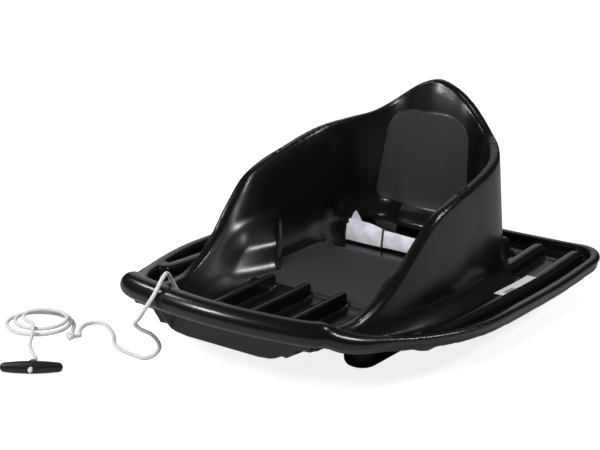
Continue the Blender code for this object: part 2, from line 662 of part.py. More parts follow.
loops = hank(int(24 * HANK_TURNS) + 2)
entry = np.array([knot[0], knot[1], LIE])
away = (loops[0] - entry) / np.linalg.norm(loops[0] - entry)
head = entry + away * (KNOT_R + GAP)
head = [head + (loops[0] - head) * k / 4 for k in range(4)]
toe = loops[-1] + (loops[-1] - loops[-2]) / np.linalg.norm(loops[-1] - loops[-2]) * CORD_D
loops = np.vstack([head, loops, toe])
cord("pull_cord_hank", loops, 0, 1)
fine = np.array([a + (b - a) * k / 4 for a, b in zip(loops[:-1], loops[1:]) for k in range(4)])
apart = np.linalg.norm(fine[:, None] - fine[None], axis=2)
far = np.abs(np.subtract.outer(np.arange(len(fine)), np.arange(len(fine)))) > 24
print("hank least gap to itself", round((apart[far].min() - CORD_D) * 1000, 2), "mm")


# T handle on the end of the cord

turned = math.radians(HANDLE_TURN)
ALONG = np.array([math.cos(turned), math.sin(turned), 0.0])
BACK = np.array([-math.sin(turned), math.cos(turned), 0.0])
UP = np.array([0.0, 0.0, 1.0])
MID = np.array([HANDLE_X, HANDLE_Y, HANDLE_R + 0.0001])


def handle_ring(centre, u, v, r, n=24, phase=0.0):
    return [tuple(centre + r * (math.cos(a + phase) * u + math.sin(a + phase) * v))
            for a in np.linspace(0, 2 * math.pi, n + 1)[:-1]]


def pull_handle():
    half = HANDLE_LENGTH / 2
    rings = []
    for t in (-1.0, -0.985, -0.94, -0.86, -0.72, -0.55, -0.36, -0.18, 0.0,
              0.18, 0.36, 0.55, 0.72, 0.86, 0.94, 0.985, 1.0):
        body = HANDLE_END_R + (HANDLE_R - HANDLE_END_R) * (1 - abs(t) ** 1.8)
        end = max(0.0, (abs(t) - 0.86) / 0.14)
        r = body * math.sqrt(max(0.06, 1 - 0.94 * end**2.4))
        rings.append(handle_ring(MID + ALONG * half * t, UP, BACK, r))
    body = loft("pull_handle", rings, TOUGH)
    boss = loft("boss", [handle_ring(MID + BACK * d, ALONG, UP, r, 22, 0.07) for d, r in (
        (0.0004, BOSS_R), (HANDLE_R + 0.0040, BOSS_R), (HANDLE_R + 0.0050, BOSS_R - 0.0008))])
    combine(body, boss, "UNION")
    for a, b, r in ((-2 * HANDLE_R, 3 * HANDLE_R, CORD_D / 2 + CORD_PLAY),
                    (-2 * HANDLE_R, 0.003 - HANDLE_R, KNOT_R * 0.9 + 0.0006)):
        bore = loft("bore", [handle_ring(MID + BACK * d, ALONG, UP, r, 18, 0.11 + 40 * r) for d in (a, b)])
        combine(body, bore, "DIFFERENCE")
    return body


pull_handle()
seat = HANDLE_R - 0.003
end_knot = MID - BACK * (seat + KNOT_R * 0.9 + GAP)
lump("handle_knot", tuple(end_knot), KNOT_R * 0.9, 0.95)
run = (loops[-1] - loops[-2]) / np.linalg.norm(loops[-1] - loops[-2])
start = loops[-1] + run * GAP
tail = [start, start + run * 0.006, start + np.array([0.0130, -0.0050, 0.0008]),
        start + np.array([0.0200, -0.0130, -0.0005]), start + np.array([0.0245, -0.0225, -0.0060]),
        start + np.array([0.0285, -0.0320, -0.0125]), start + np.array([0.0380, -0.0400, 0.0]) * [1, 1, 0],
        MID + BACK * 0.0330, MID + BACK * 0.0240, MID + BACK * 0.0150, MID + BACK * 0.0080, MID,
        MID - BACK * seat]
tail = [np.array(q, float) for q in tail]
tail[6][2] = LIE + 0.0004
tail[7][2] = LIE + 0.0020
tail[8][2] = MID[2] - 0.0008
cord("pull_cord_tail", tail, 20)


# Lap belt: folded webbing held by an elastic band, buckle beside it

pitch = WEB_T + WEB_AIR
thick = FOLD_LAYERS * WEB_T + (FOLD_LAYERS - 1) * WEB_AIR
lean = math.radians(BUNDLE_LEAN)
BASE_Z = GUTTER + 2 * GAP + BAND_T


def leaned(x, y, z):
    """Bundle coordinates to the sled's: y from its front face, z from its lower edge."""
    return (BUNDLE_X + x, BUNDLE_Y + y * math.cos(lean) + z * math.sin(lean),
            BASE_Z + z * math.cos(lean) - y * math.sin(lean) + thick * math.sin(lean))


def ribbon(name, path, low, high, t=WEB_T, place=leaned, mat=None):
    """Webbing that stands on its edge along a path in plan."""
    p = np.array(path, float)
    d = np.gradient(p, axis=0)
    d /= np.linalg.norm(d, axis=1)[:, None]
    side = np.stack([-d[:, 1], d[:, 0]], 1) * t / 2
    rings = [[place(*(q - n), low), place(*(q + n), low), place(*(q + n), high), place(*(q - n), high)]
             for q, n in zip(p, side)]
    return loft(name, rings, mat or WEBBING)


def bundle():
    path = []
    half = BUNDLE_LENGTH / 2
    for i in range(FOLD_LAYERS):
        y = WEB_T / 2 + i * pitch
        way = 1 if i % 2 == 0 else -1
        reach = half - thick / 2 - 0.0018 * (i % 3)
        reach_in = half - thick / 2 - 0.0018 * (((i - 1) % 3) if i else 0)
        xs = np.linspace(-way * (reach_in if i else reach), way * reach, 7)
        path += [(x, y) for x in xs]
        if i < FOLD_LAYERS - 1:
            for a in np.linspace(-math.pi / 2, math.pi / 2, 7)[1:-1]:
                path.append((way * (reach + pitch / 2 * math.cos(a)), y + pitch / 2 + pitch / 2 * math.sin(a)))
    return ribbon("belt_bundle", path, 0.0, WEB_W)


def band():
    g = GAP
    y0, y1, z0, z1 = -g, thick + g, -g, WEB_W + g
    t = BAND_T
    x = BAND_X - BUNDLE_X
    rings = []
    for y, z, p, q in ((y0, z0, -1, -1), (y1, z0, 1, -1), (y1, z1, 1, 1), (y0, z1, -1, 1)):
        rings.append([leaned(x - BAND_W / 2, y, z), leaned(x + BAND_W / 2, y, z),
                      leaned(x + BAND_W / 2, y + p * t, z + q * t), leaned(x - BAND_W / 2, y + p * t, z + q * t)])
    return loft("elastic_band", rings, ELASTIC, around=True)


def block(name, x, y, z, mat=None, round_r=0.0):
    """Block in the bundle's frame from (low, high) pairs, rounded in its long faces."""
    if not round_r:
        ring = [(x[0], z[0]), (x[1], z[0]), (x[1], z[1]), (x[0], z[1])]
    else:
        ring = [tuple(q) for q in rounded_outline([(x[0], z[0], round_r), (x[1], z[0], round_r),
                                                   (x[1], z[1], round_r), (x[0], z[1], round_r)], 3)]
    return loft(name, [[leaned(p, v, q) for p, q in ring] for v in y], mat)


def buckle():
    """Side release buckle: a socket with open sides and a plug with two prongs."""
    x0 = BUNDLE_LENGTH / 2 - thick / 2 + pitch / 2 + WEB_T / 2 + GAP
    y0 = (thick - BUCKLE_T) / 2
    low = 0.0
    x1 = x0 + 0.62 * BUCKLE_L
    x2 = x0 + BUCKLE_L
    mid = low + BUCKLE_W / 2
    socket = block("buckle_socket", (x0, x1), (y0, y0 + BUCKLE_T), (low, low + BUCKLE_W), TOUGH, 0.003)
    plug = block("buckle_plug", (x1 + GAP, x2), (y0 + 0.0004, y0 + BUCKLE_T - 0.0004),
                 (low + 0.0005, low + BUCKLE_W - 0.0005), TOUGH, 0.0025)
    deep = 0.45 * BUCKLE_L
    for way in (-1, 1):
        a, b = sorted((mid + way * (BUCKLE_W / 2 - 0.0060), mid + way * (BUCKLE_W / 2 + 0.0010)))
        slot = block("channel", (x1 - deep, x1 + 0.002), (y0 + 0.0019, y0 + BUCKLE_T - 0.0019), (a, b))
        combine(socket, slot, "DIFFERENCE")
        a, b = sorted((mid + way * (BUCKLE_W / 2 - 0.0056), mid + way * (BUCKLE_W / 2 - 0.0012)))
        prong = block("prong", (x1 - deep + 0.0006, x1 + 0.004),
                      (y0 + 0.0023, y0 + BUCKLE_T - 0.0023), (a, b))
        combine(plug, prong, "UNION")
    for body, x in ((socket, x0 + 0.0055), (plug, x2 - 0.0050)):
        eye = block("eye", (x - 0.0018, x + 0.0018), (y0 - 0.002, y0 + BUCKLE_T + 0.002),
                    (mid - WEB_W / 2 + 0.001, mid + WEB_W / 2 - 0.001))
        combine(body, eye, "DIFFERENCE")


def strap(name, x):
    """Webbing that leaves its slot in the foot of the backrest and turns into the bundle."""
    back = BUNDLE_Y + thick * math.cos(lean) + (SLOT_Z - BASE_Z) * math.sin(lean) + 0.0006
    rings = []
    for y, z in ((back, SLOT_Z - 0.0006), (back + 0.004, SLOT_Z - 0.0002), (BUNDLE_Y + 0.029, SLOT_Z),
                 (BUNDLE_Y + 0.024 + SLOT_DEEP, SLOT_Z)):
        rings.append([(x - WEB_W / 2, y, z - WEB_T / 2), (x + WEB_W / 2, y, z - WEB_T / 2),
                      (x + WEB_W / 2, y, z + WEB_T / 2), (x - WEB_W / 2, y, z + WEB_T / 2)])
    return loft(name, rings, WEBBING)


def free_end():
    """Loose end of the webbing, folded up behind the bundle to a corner."""
    y = thick + WEB_AIR + WEB_T / 2
    rings = []
    for k in range(6):
        t = k / 5
        x = FREE_IN - SEAT_HALF - 0.0080 * t
        w = WEB_W / 2 * (1.0 - 0.55 * t**2)
        z = 0.014 + 0.0270 * t
        bow = 0.0012 * math.sin(math.pi * t) - 0.30 * max(0.0, z - WEB_W - 0.001)
        rings.append([leaned(x - w, y + bow - WEB_T / 2, z - 0.004 * t), leaned(x + w, y + bow - WEB_T / 2, z),
                      leaned(x + w, y + bow + WEB_T / 2, z), leaned(x - w, y + bow + WEB_T / 2, z - 0.004 * t)])
    return loft("belt_free_end", rings, WEBBING)


bundle()
band()
buckle()
strap("belt_strap_left", -SLOT_X)
strap("belt_strap_right", SLOT_X)
free_end()


# Blank label on the outer deck rib

def label():
    rings = []
    for y in np.linspace(LABEL_Y - LABEL_L / 2, LABEL_Y + LABEL_L / 2, 5):
        z = rim_top(y) - DECK_RIB_DROP + GAP + LABEL_T / 2
        x0, x1 = DECK_RIB_X - LABEL_IN - LABEL_W / 2, DECK_RIB_X - LABEL_IN + LABEL_W / 2
        rings.append([(x0, y, z), (x1, y, z), (x1, y, z + LABEL_T), (x0, y, z + LABEL_T)])
    return loft("blank_label", rings, PAPER)


label()
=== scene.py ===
"""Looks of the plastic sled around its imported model.

Metres, +Z up, X to the sides, the front lip towards -Y. The ground is z = 0.
"""
import math

import bmesh
import bpy
import numpy as np
from mathutils import Matrix, Vector


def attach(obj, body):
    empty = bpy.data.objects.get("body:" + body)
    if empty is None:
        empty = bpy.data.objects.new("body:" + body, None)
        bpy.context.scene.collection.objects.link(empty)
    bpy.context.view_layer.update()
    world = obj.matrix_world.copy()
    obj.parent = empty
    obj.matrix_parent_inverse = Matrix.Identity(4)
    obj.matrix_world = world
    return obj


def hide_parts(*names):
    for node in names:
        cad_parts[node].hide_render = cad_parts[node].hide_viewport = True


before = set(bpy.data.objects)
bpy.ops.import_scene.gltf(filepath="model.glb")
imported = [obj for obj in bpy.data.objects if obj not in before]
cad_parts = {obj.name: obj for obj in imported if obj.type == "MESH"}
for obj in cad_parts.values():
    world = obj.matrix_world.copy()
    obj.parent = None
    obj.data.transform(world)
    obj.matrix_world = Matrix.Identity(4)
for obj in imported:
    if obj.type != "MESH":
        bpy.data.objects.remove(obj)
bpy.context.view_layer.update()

# Whole sled
LENGTH = 0.54  # lip to rear edge
WIDTH = 0.466  # widest point of the pan
HEIGHT = 0.2655  # ground to the top of the backrest
HALF_L = LENGTH / 2
HALF_W = WIDTH / 2
GAP = 0.0003  # air between pieces that lie against each other

# Pan, rim and round front lip
LIP_R = 0.0165  # radius of the round front lip
LIP_LOW = 0.0125  # the same for the lip's flatter lower half
LIP_ENDS = (-0.87, -0.56)  # the lip is round before the first, a rim behind the second
LIP_TOP = 0.107  # top of the lip above the ground
RIM_TOP = 0.063  # top of the side rim, amidships
RIM_REAR = 0.067  # top of the rim at the rear corners
RIM_RISE = ((-0.82, 0.033), (-0.74, 0.024), (-0.61, 0.015), (-0.48, 0.009), (-0.25, 0.003),
            (0.0, 0.0), (0.48, -0.003))  # place along the sled, height over RIM_TOP
RIM_DIP = 0.005  # dip of the rear edge in its middle
RIM_BEAD = 0.0105  # width of the bead on top of the rim
RIM_TALL = 0.0165  # height of the rim's outer face
DECK_DROP = 0.017  # deck below the top of the rim, amidships
DECK_RISE = 0.031  # how much the deck climbs towards the front
DECK_CLIMB = ((-0.9, 1.0), (-0.8, 0.8), (-0.74, 0.65), (-0.61, 0.4), (-0.48, 0.25),
              (-0.25, 0.08), (0.0, 0.0))  # place along the sled, share of DECK_RISE
DECK_SKIN = 0.005  # thickness of the deck
CORNER_FRONT_R = 0.055  # plan radius of the front corners
CORNER_REAR_R = 0.042  # plan radius of the rear corners

# Bucket seat
SEAT_HALF = 0.141  # half width over the rim's centre line
RIM_BAND = 0.013  # thickness of the seat wall at its flat top
SEAT_MID = 0.06  # y where the side walls give way to the rounded back
SEAT_DRAFT = 0.009  # how far the outer wall spreads on its way down
FLARE = 0.016  # outward flare of the wall where it meets the deck
FLARE_TALL = 0.028
CORNER = 0.015  # squared rear corners of the wall's foot
CORNER_TALL = 0.05
SQUARED = (52, 15)  # degrees round the seat: middle and spread of those corners
SHOULDER = 0.0028  # the inner wall starts this far below the top of the rim
WALL_SKIN = 0.007  # least thickness of the wall's hidden foot beside the lip
FLOOR = 0.056  # footwell floor above the ground
PLATFORM = 0.06  # matte seat floor above the ground
GUTTER = 0.05  # floor of the channel behind the seat floor
PLATFORM_REAR = 0.095  # y of the rear edge of the seat floor
SIDE_LEAN = 0.032  # how far the side walls come in at the floor
BACK_LEAN = 0.04  # how far the back wall comes in at the floor
BOLSTER = 0.022  # bulge beside the hips
BOLSTER_Z = (0.124, 0.088)  # heights where the bulge starts and is full
BOLSTER_ON = (-0.52, 0.42)  # where it starts along the sled and the run of its swell
BOLSTER_OFF = (-0.1, 0.04)  # where it ends
BOLSTER_TILT = 1.8  # it leans back as it rises
BOLSTER_MID = 0.07
LUMBAR = 0.016  # roll across the bottom of the backrest
LUMBAR_Z = 0.082
LUMBAR_TALL = 0.0135
LUMBAR_ENDS = (0.6, 0.98)  # where it fades, in shares of SEAT_HALF
NOTCH = (0.99 * SEAT_HALF, 0.05, 0.678 * HEIGHT)  # small slots in the top of the seat rim
NOTCH_W = 0.0034
NOTCH_LONG = 0.022

# Ribs
RIB_PITCH = 0.0534  # footwell ribs, centre to centre
RIB_W = 0.01
RIB_TOP = 0.074
DECK_RIB_X = 0.191  # outermost deck rib
DECK_RIB_PITCH = 0.052
DECK_RIB_W = 0.021
DECK_RIB_DROP = 0.0015  # deck ribs below the top of the rim

# Hull, keel and runners
HULL_FRONT = 0.2375  # front wall of the hull, ahead of the middle
HULL_HALF = 0.098
HULL_BOTTOM = 0.034
# Its stations: place along the sled, width, depth and run of the rounded sides
HULL_SHAPE = ((-0.9, 0.82, 0.4, 0.026), (-0.858, 0.835, 0.46, 0.03), (-0.8, 0.85, 0.64, 0.04),
              (-0.7, 0.88, 0.88, 0.052), (-0.6, 0.92, 1.0, 0.056), (-0.42, 1.0, 1.0, 0.034),
              (0.74, 1.0, 1.0, 0.027), (0.79, 0.98, 0.9, 0.026), (0.82, 0.93, 0.6, 0.024))
KEEL_HALF = 0.053
KEEL_BOTTOM = 0.012
KEEL_SHAPE = ((-0.188, 0.3), (-0.176, 0.62), (-0.158, 0.9), (-0.138, 1.0), (-0.08, 1.0),
              (0.1, 1.0), (0.15, 0.96), (0.175, 0.75), (0.188, 0.4))  # y, share of the depth
RUNNER_X = 0.0955  # centre of each side runner
RUNNER_W = 0.042
RUNNER_FRONT = -0.115
RUNNER_LENGTH = 0.3
SKID_X = 0.155  # small outer skids
SKID_W = 0.013
SKID_FRONT = 0.042
SKID_LENGTH = 0.07

# Pull cord and handle
CORD_D = 0.0048
CORD_STEP = 0.0008  # from ring to ring of its tube
CORD_X = -0.078  # hole behind the lip
CORD_Y = -0.206
CORD_PLAY = 0.0008  # air round the cord in a hole
HANK_TURNS = 2.61
HANK_R = 0.046  # outer loop
HANK_IN = 0.026  # inner loop
HANK_START = 35.0  # degrees
HANK_AIR = 0.001  # air between a loop and the one that it climbs on
HANK_FLAT = 0.92  # the loops are oval
HANK_SHIFT = 0.62  # inner loops lie to the right
HANK_X = -0.294
HANK_Y = -0.237
HANDLE_X = -0.1995
HANDLE_Y = -0.345
HANDLE_TURN = 36.0  # degrees
HANDLE_LENGTH = 0.074
HANDLE_R = 0.0077
HANDLE_END_R = 0.0052
HANDLE_CAP = 0.86  # the rounded ends start at this share of the half length
BOSS_R = 0.0056
KNOT_R = 0.005
STOP_KNOT = (KNOT_R, 0.0019, 15)  # reach, half thickness of its turns, tilt in degrees
HANK_KNOT = (0.0062, 0.0021, 60)
HANDLE_KNOT = (KNOT_R * 0.66, 0.0014, 70)

# Lap belt, folded into a bundle in the channel
WEB_W = 0.025
WEB_T = 0.0014
WEB_EDGE = ((0.0, 0.3), (0.02, 0.85), (0.06, 1.0), (0.5, 1.0), (0.94, 1.0), (0.98, 0.85),
            (1.0, 0.3), (1.0, -0.3), (0.98, -0.85), (0.5, -1.0), (0.02, -0.85),
            (0.0, -0.3))  # round its section: share of the width, share of half the thickness
WEB_AIR = 0.0005  # air between folds
FOLD_STEP = 0.0018  # the folds end in three places, this far apart
FOLD_LAYERS = 6
BUNDLE_X = -0.0335  # middle of the bundle
BUNDLE_LENGTH = 0.124
BUNDLE_Y = 0.131  # front face at the bottom
BUNDLE_LEAN = 9.0  # degrees back
BAND_T = 0.0008  # elastic band under the bundle
SLOT_X = 0.056  # belt slots in the foot of the backrest
SLOT_Z = GUTTER + 0.0105
SLOT_DEEP = 0.014

# Camera of the photograph
CAMERA = (1.2836, -1.7904, 0.8816)
CAMERA_TURN = (37.0, 71.1, -0.4)
LENS = 114.17

# Matte panel in the backrest
PANEL_X = -0.004
PANEL_HALF = 0.07
PANEL_LOW = 0.103
PANEL_HIGH = 0.224
PANEL_TAPER = 1.35  # share of the width lost per metre of height
PANEL_PROUD = 0.0003
PANEL_Y = 0.14  # the backrest lies behind this

# Matte seat floor
PAD_Z = (0.0575, 0.0625, 0.0645)  # lowest, and where it fades out
PAD_X = (0.118, 0.124)
PAD_FRONT = -0.066
PAD_REAR = (0.0905, 0.0935)

# Lamps: name, direction, distance, width, power, seen in reflections
LAMPS = (("key_left", (-0.42, -0.63, 0.46), 0.885, 0.11, 1.7, True),
         ("key_rear", (-0.72, -0.25, 0.62), 1.2, 0.14, 1.5, True),
         ("side_right", (0.755, 0.355, 0.55), 1.5, 0.2, 5.0, True),
         ("top_right", (0.38, 0.24, 0.89), 1.5, 0.24, 4.5, True),
         ("backdrop", (-0.54, 0.755, 0.36), 3.0, 2.6, 9.0, True),
         ("fill", (0.05, -0.75, 0.66), 2.6, 1.6, 62.0, False))
LAMP_AIM = 0.08  # the lamps point at this height
WORLD_LEVEL = 0.05
FLOOR_GLOW = 0.85  # only for the camera
FLOOR_HALF = 7.0

# Fineness of the bodies, above all of the moulded shell
WELD = 0.000001
VOXEL = 0.0021
PAN_STEPS = 150
WALL_STEPS = 240
FAIRING = 14
CORNER_CARE = 0.1  # metres of extra fineness per radian of corner
FRONT_EASE = 45  # rounds of smoothing on the plan of the front


def clamp(v):
    return min(1.0, max(0.0, v))


def smooth(a, b, v):
    """0 at a, 1 at b and soft between them; a may be the larger."""
    t = clamp((v - a) / (b - a))
    return t * t * (3 - 2 * t)


def unit(v):
    """A direction, or each row of many, with length 1."""
    v = np.asarray(v, float)
    return v / np.linalg.norm(v, axis=-1, keepdims=True)


def travel(points):
    """Way covered at each point of a path."""
    return np.r_[0, np.cumsum(np.linalg.norm(np.diff(points, axis=0), axis=1))]


def spaced(points, s, count):
    """Points at even steps of s along a path."""
    w = np.linspace(0, s[-1], count)
    return np.stack([np.interp(w, s, q) for q in points.T], 1)


def blend(keys, v):
    """Smooth curve through (position, value) keys."""
    xs, ys = zip(*keys)
    if v <= xs[0] or v >= xs[-1]:
        return ys[0] if v <= xs[0] else ys[-1]
    d = [(ys[i + 1] - ys[i]) / (xs[i + 1] - xs[i]) for i in range(len(xs) - 1)]
    m = [d[0]] + [0.0 if a * b <= 0 else 2 * a * b / (a + b) for a, b in zip(d, d[1:])] + [d[-1]]
    i = max(k for k in range(len(d)) if xs[k] <= v)
    h = xs[i + 1] - xs[i]
    t = (v - xs[i]) / h
    return ((2 * t**3 - 3 * t**2 + 1) * ys[i] + (t**3 - 2 * t**2 + t) * h * m[i]
            + (3 * t**2 - 2 * t**3) * ys[i + 1] + (t**3 - t**2) * h * m[i + 1])


def through(points, count):
    """Evenly spaced points on a smooth curve through the given points."""
    def between(t, t0, t1, a, b):
        return (t1 - t) / (t1 - t0) * a + (t - t0) / (t1 - t0) * b

    p = np.array(points, float)
    p = np.vstack([2 * p[0] - p[1], p, 2 * p[-1] - p[-2]])
    out = []
    for q in zip(p, p[1:], p[2:], p[3:]):
        k = [0.0]
        for a, b in zip(q, q[1:]):
            k.append(k[-1] + max(1e-9, np.linalg.norm(b - a)) ** 0.5)
        for t in np.linspace(k[1], k[2], 24, endpoint=False):
            a = [between(t, k[i], k[i + 1], q[i], q[i + 1]) for i in range(3)]
            b = [between(t, k[i], k[i + 2], a[i], a[i + 1]) for i in range(2)]
            out.append(between(t, k[1], k[2], *b))
    out = np.array(out + [p[-2]])
    return spaced(out, travel(out), count)


def linked(name, data):
    """A new object in the scene."""
    ob = bpy.data.objects.new(name, data)
    bpy.context.scene.collection.objects.link(ob)
    return ob


def drawn(name, verts, faces):
    mesh = bpy.data.meshes.new(name)
    mesh.from_pydata([tuple(map(float, v)) for v in verts], [], faces)
    return mesh


def outward(mesh, weld=0.0):
    """Turn the faces outward, after points closer than weld are made one."""
    b = bmesh.new()
    b.from_mesh(mesh)
    if weld:
        bmesh.ops.remove_doubles(b, verts=b.verts, dist=weld)
    bmesh.ops.recalc_face_normals(b, faces=b.faces)
    if b.calc_volume(signed=True) < 0:
        bmesh.ops.reverse_faces(b, faces=b.faces)
    b.to_mesh(mesh)
    b.free()


def solid(name, verts, faces):
    mesh = drawn(name, verts, faces)
    outward(mesh, WELD)
    return linked(name, mesh)


def skin(count, n):
    """Faces of a body through count rings of n points, its two ends last."""
    sides = [(i * n + j, i * n + (j + 1) % n, (i + 1) * n + (j + 1) % n, (i + 1) * n + j)
             for i in range(count - 1) for j in range(n)]
    return sides + [tuple(range(n))[::-1], tuple((count - 1) * n + j for j in range(n))]


def loft(name, rings):
    """Closed body through rings of equal count."""
    return solid(name, [v for ring in rings for v in ring], skin(len(rings), len(rings[0])))


def circle(centre, u, v, r, n, phase=0.0):
    return [tuple(centre + r * (math.cos(a + phase) * u + math.sin(a + phase) * v))
            for a in np.linspace(0, 2 * math.pi, n + 1)[:-1]]


def modifier(ob, kind, **settings):
    mod = ob.modifiers.new(kind.lower(), kind)
    for key, value in settings.items():
        setattr(mod, key, value)
    return mod


def softened(ob, width, segments, degrees):
    """Round the edges that bend by more than this."""
    modifier(ob, "BEVEL", width=width, segments=segments, limit_method="ANGLE",
             angle_limit=math.radians(degrees))


def applied(ob, kind, **settings):
    """Work a modifier into the mesh."""
    bpy.context.view_layer.objects.active = ob
    bpy.ops.object.modifier_apply(modifier=modifier(ob, kind, **settings).name)


def cut(body, other, how="DIFFERENCE"):
    """Cut another closed body away from this one, or join the two with UNION."""
    applied(body, "BOOLEAN", operation=how, solver="EXACT", object=other)
    bpy.data.objects.remove(other, do_unlink=True)


def box(name, low, high):
    (x0, y0, z0), (x1, y1, z1) = low, high
    return loft(name, [[(x0, y0, z), (x1, y0, z), (x1, y1, z), (x0, y1, z)] for z in (z0, z1)])


def rounded_outline(corners, steps=7):
    """Polygon (x, y, radius) with an arc of the given number of steps in each corner."""
    pts = []
    n = len(corners)
    for i, (_, _, r) in enumerate(corners):
        a, b, c = (np.array(corners[(i + k) % n][:2]) for k in (-1, 0, 1))
        u, v = unit(a - b), unit(c - b)
        half = math.acos(max(-1, min(1, float(u @ v)))) / 2
        if r <= 0 or half > 1.565:  # no radius, or hardly a corner
            pts.append(b)
            continue
        t = min(r / math.tan(half), 0.48 * np.linalg.norm(a - b), 0.48 * np.linalg.norm(c - b))
        r = t * math.tan(half)
        mid = b + unit(u + v) * r / math.sin(half)
        p, q = b + u * t - mid, b + v * t - mid
        a0 = math.atan2(p[1], p[0])
        turn = math.atan2(p[0] * q[1] - p[1] * q[0], float(p @ q))
        for k in range(steps + 1):
            w = a0 + turn * k / steps
            pts.append(mid + r * np.array([math.cos(w), math.sin(w)]))
    return np.array(pts)


def pan_outline(half_count):
    """Right half from the middle of the lip to the middle of the rear edge."""
    right = [(0.0, -HALF_L, 0.5), (0.644 * HALF_W, -0.919 * HALF_L, CORNER_FRONT_R),
             (HALF_W, -0.23 * HALF_L, 0.3), (0.982 * HALF_W, 0.985 * HALF_L, CORNER_REAR_R),
             (0.0, HALF_L, 0.5)]
    left = [(-x, y, r) for x, y, r in right[-2:0:-1]]
    pts = rounded_outline(right + left, 24)
    first = int(np.argmin(np.abs(pts[:, 0]) + (pts[:, 1] > 0)))
    half = [p for p in np.roll(pts, -first, axis=0) if p[0] > 1e-6]
    p = np.array([(0.0, half[0][1])] + half + [(0.0, HALF_L)])
    step = np.diff(p, axis=0)
    size = np.linalg.norm(step, axis=1)
    moved = size > 1e-7
    p, step, size = p[np.r_[True, moved]], step[moved], size[moved]
    bend = np.abs(np.diff(np.unwrap(np.arctan2(step[:, 1], step[:, 0]))))
    s = np.r_[0, np.cumsum(size + 0.5 * CORNER_CARE * (np.r_[0, bend] + np.r_[bend, 0]))]
    p = spaced(p, s, half_count + 1)
    for _ in range(FRONT_EASE):
        wide = np.vstack([p[1] * [-1, 1], p, p[-2] * [-1, 1]])
        front = np.clip(-p[:, 1:] / HALF_L * 2.2, 0, 1)
        p = p + front * (0.25 * (wide[:-2] + wide[2:]) - 0.5 * p)
    p[:, 0] *= HALF_W / p[:, 0].max()
    p[:, 1] *= np.where(p[:, 1] < 0, -HALF_L / p[:, 1].min(), HALF_L / p[:, 1].max())
    return p


def rim_top(y):
    return blend([(-1.0, LIP_TOP), (-0.9, LIP_TOP - 0.001)]
                 + [(k, RIM_TOP + h) for k, h in RIM_RISE] + [(1.0, RIM_REAR)], y / HALF_L)


def deck(y):
    return RIM_TOP - DECK_DROP + blend([(k, h * DECK_RISE) for k, h in DECK_CLIMB]
                                       + [(0.48, -0.0025), (1.0, RIM_REAR - RIM_TOP)], y / HALF_L)


def rear_dip(x, y):
    return RIM_DIP * max(0.0, 1 - (1.1 * x / HALF_W) ** 2) * smooth(0.85, 0.97, y / HALF_L)


def rim_profile(x, y, share):
    """Points (inset, z) from the deck over the rim to the underside; share 1 is the round lip."""
    top = rim_top(y) - rear_dip(x, y)
    d = deck(y)
    under = d - DECK_SKIN
    side = [(0.034, d), (RIM_BEAD + 0.008, d), (RIM_BEAD + 0.0045, d + 0.002),
            (RIM_BEAD + 0.0025, top - 0.003), (RIM_BEAD + 0.0005, top - 0.0006),
            (RIM_BEAD - 0.003, top), (0.003, top - 0.0002), (0.0008, top - 0.0015),
            (0.0, top - 0.004), (0.0003, top - 0.007), (0.0028, top - 0.0085),
            (0.0026, top - RIM_TALL + 0.0015), (0.0038, top - RIM_TALL),
            (0.012, top - RIM_TALL), (0.02, under), (0.034, under)]
    turns = (-32, 0, 32, 62, 90, 120, 150, 180, 210, 240, 270, 300)

    def round_lip(turn, low):
        w = math.radians(turn)
        return (LIP_R + LIP_R * math.cos(w),
                top - LIP_R + (LIP_R if math.sin(w) > 0 else low) * math.sin(w))

    lip = [(0.04, d), (0.0362, d + 0.004)] + [round_lip(v, LIP_R) for v in turns]
    lip += [(0.031, under + 0.004), (0.04, under)]
    a, b = (spaced(np.array(shape), np.arange(16), 61) for shape in (side, lip))
    for i, u in enumerate(np.linspace(0, 15, 61)):
        if 2 <= u <= 13:
            b[i] = round_lip(np.interp(u - 2, range(12), turns), LIP_LOW)
    return (1 - share) * a + share * b


def pan_body(half_count):
    half = pan_outline(half_count)
    full = np.vstack([half, half[-2:0:-1] * [-1, 1]])
    n = len(full)
    t = unit(np.roll(full, -1, axis=0) - np.roll(full, 1, axis=0))
    inward = np.stack([-t[:, 1], t[:, 0]], 1)
    rings = []
    for p, q in zip(full, inward):
        share = 1 - smooth(*LIP_ENDS, p[1] / HALF_L)
        rings.append([(p[0] + q[0] * d, p[1] + q[1] * d, z) for d, z in rim_profile(p[0], p[1], share)])
    m = len(rings[0])
    faces = [(i * m + j, i * m + j + 1, (i + 1) % n * m + j + 1, (i + 1) % n * m + j)
             for i in range(n) for j in range(m - 1)]
    for j in (0, m - 1):  # the deck and the underside, across the middle
        for i in range(n // 2):
            quad = [v * m + j for v in (i, i + 1, (n - i - 1) % n, (n - i) % n)]
            faces.append(tuple(v for k, v in enumerate(quad) if v not in quad[:k]))
    return solid("pan", [v for r in rings for v in r], faces)


def seat_rim(count):
    """Centre line of the seat rim, right front over the back to the left front."""
    w, h = SEAT_HALF, HEIGHT
    right = [(0.823 * w, -0.88, 0.087), (0.862 * w, -0.74, 0.084), (0.895 * w, -0.567, 0.0815),
             (0.922 * w, -0.426, 0.093), (0.95 * w, -0.307, 0.425 * h), (0.975 * w, -0.185, 0.531 * h),
             (0.99 * w, -0.056, 0.629 * h), (w, 0.1, 0.678 * h), (0.99 * w, 0.244, 0.703 * h),
             (0.972 * w, 0.385, 0.731 * h), (0.915 * w, 0.511, 0.757 * h), (0.759 * w, 0.641, 0.784 * h),
             (0.631 * w, 0.707, 0.806 * h), (0.489 * w, 0.755, 0.855 * h), (0.34 * w, 0.783, 0.917 * h),
             (0.177 * w, 0.792, 0.972 * h)]
    right = [(x, y * HALF_L, z) for x, y, z in right]
    left = [(-x, y, z) for x, y, z in right[::-1]]
    return through(right + [(0.0, 0.7935 * HALF_L, h)] + left, count)


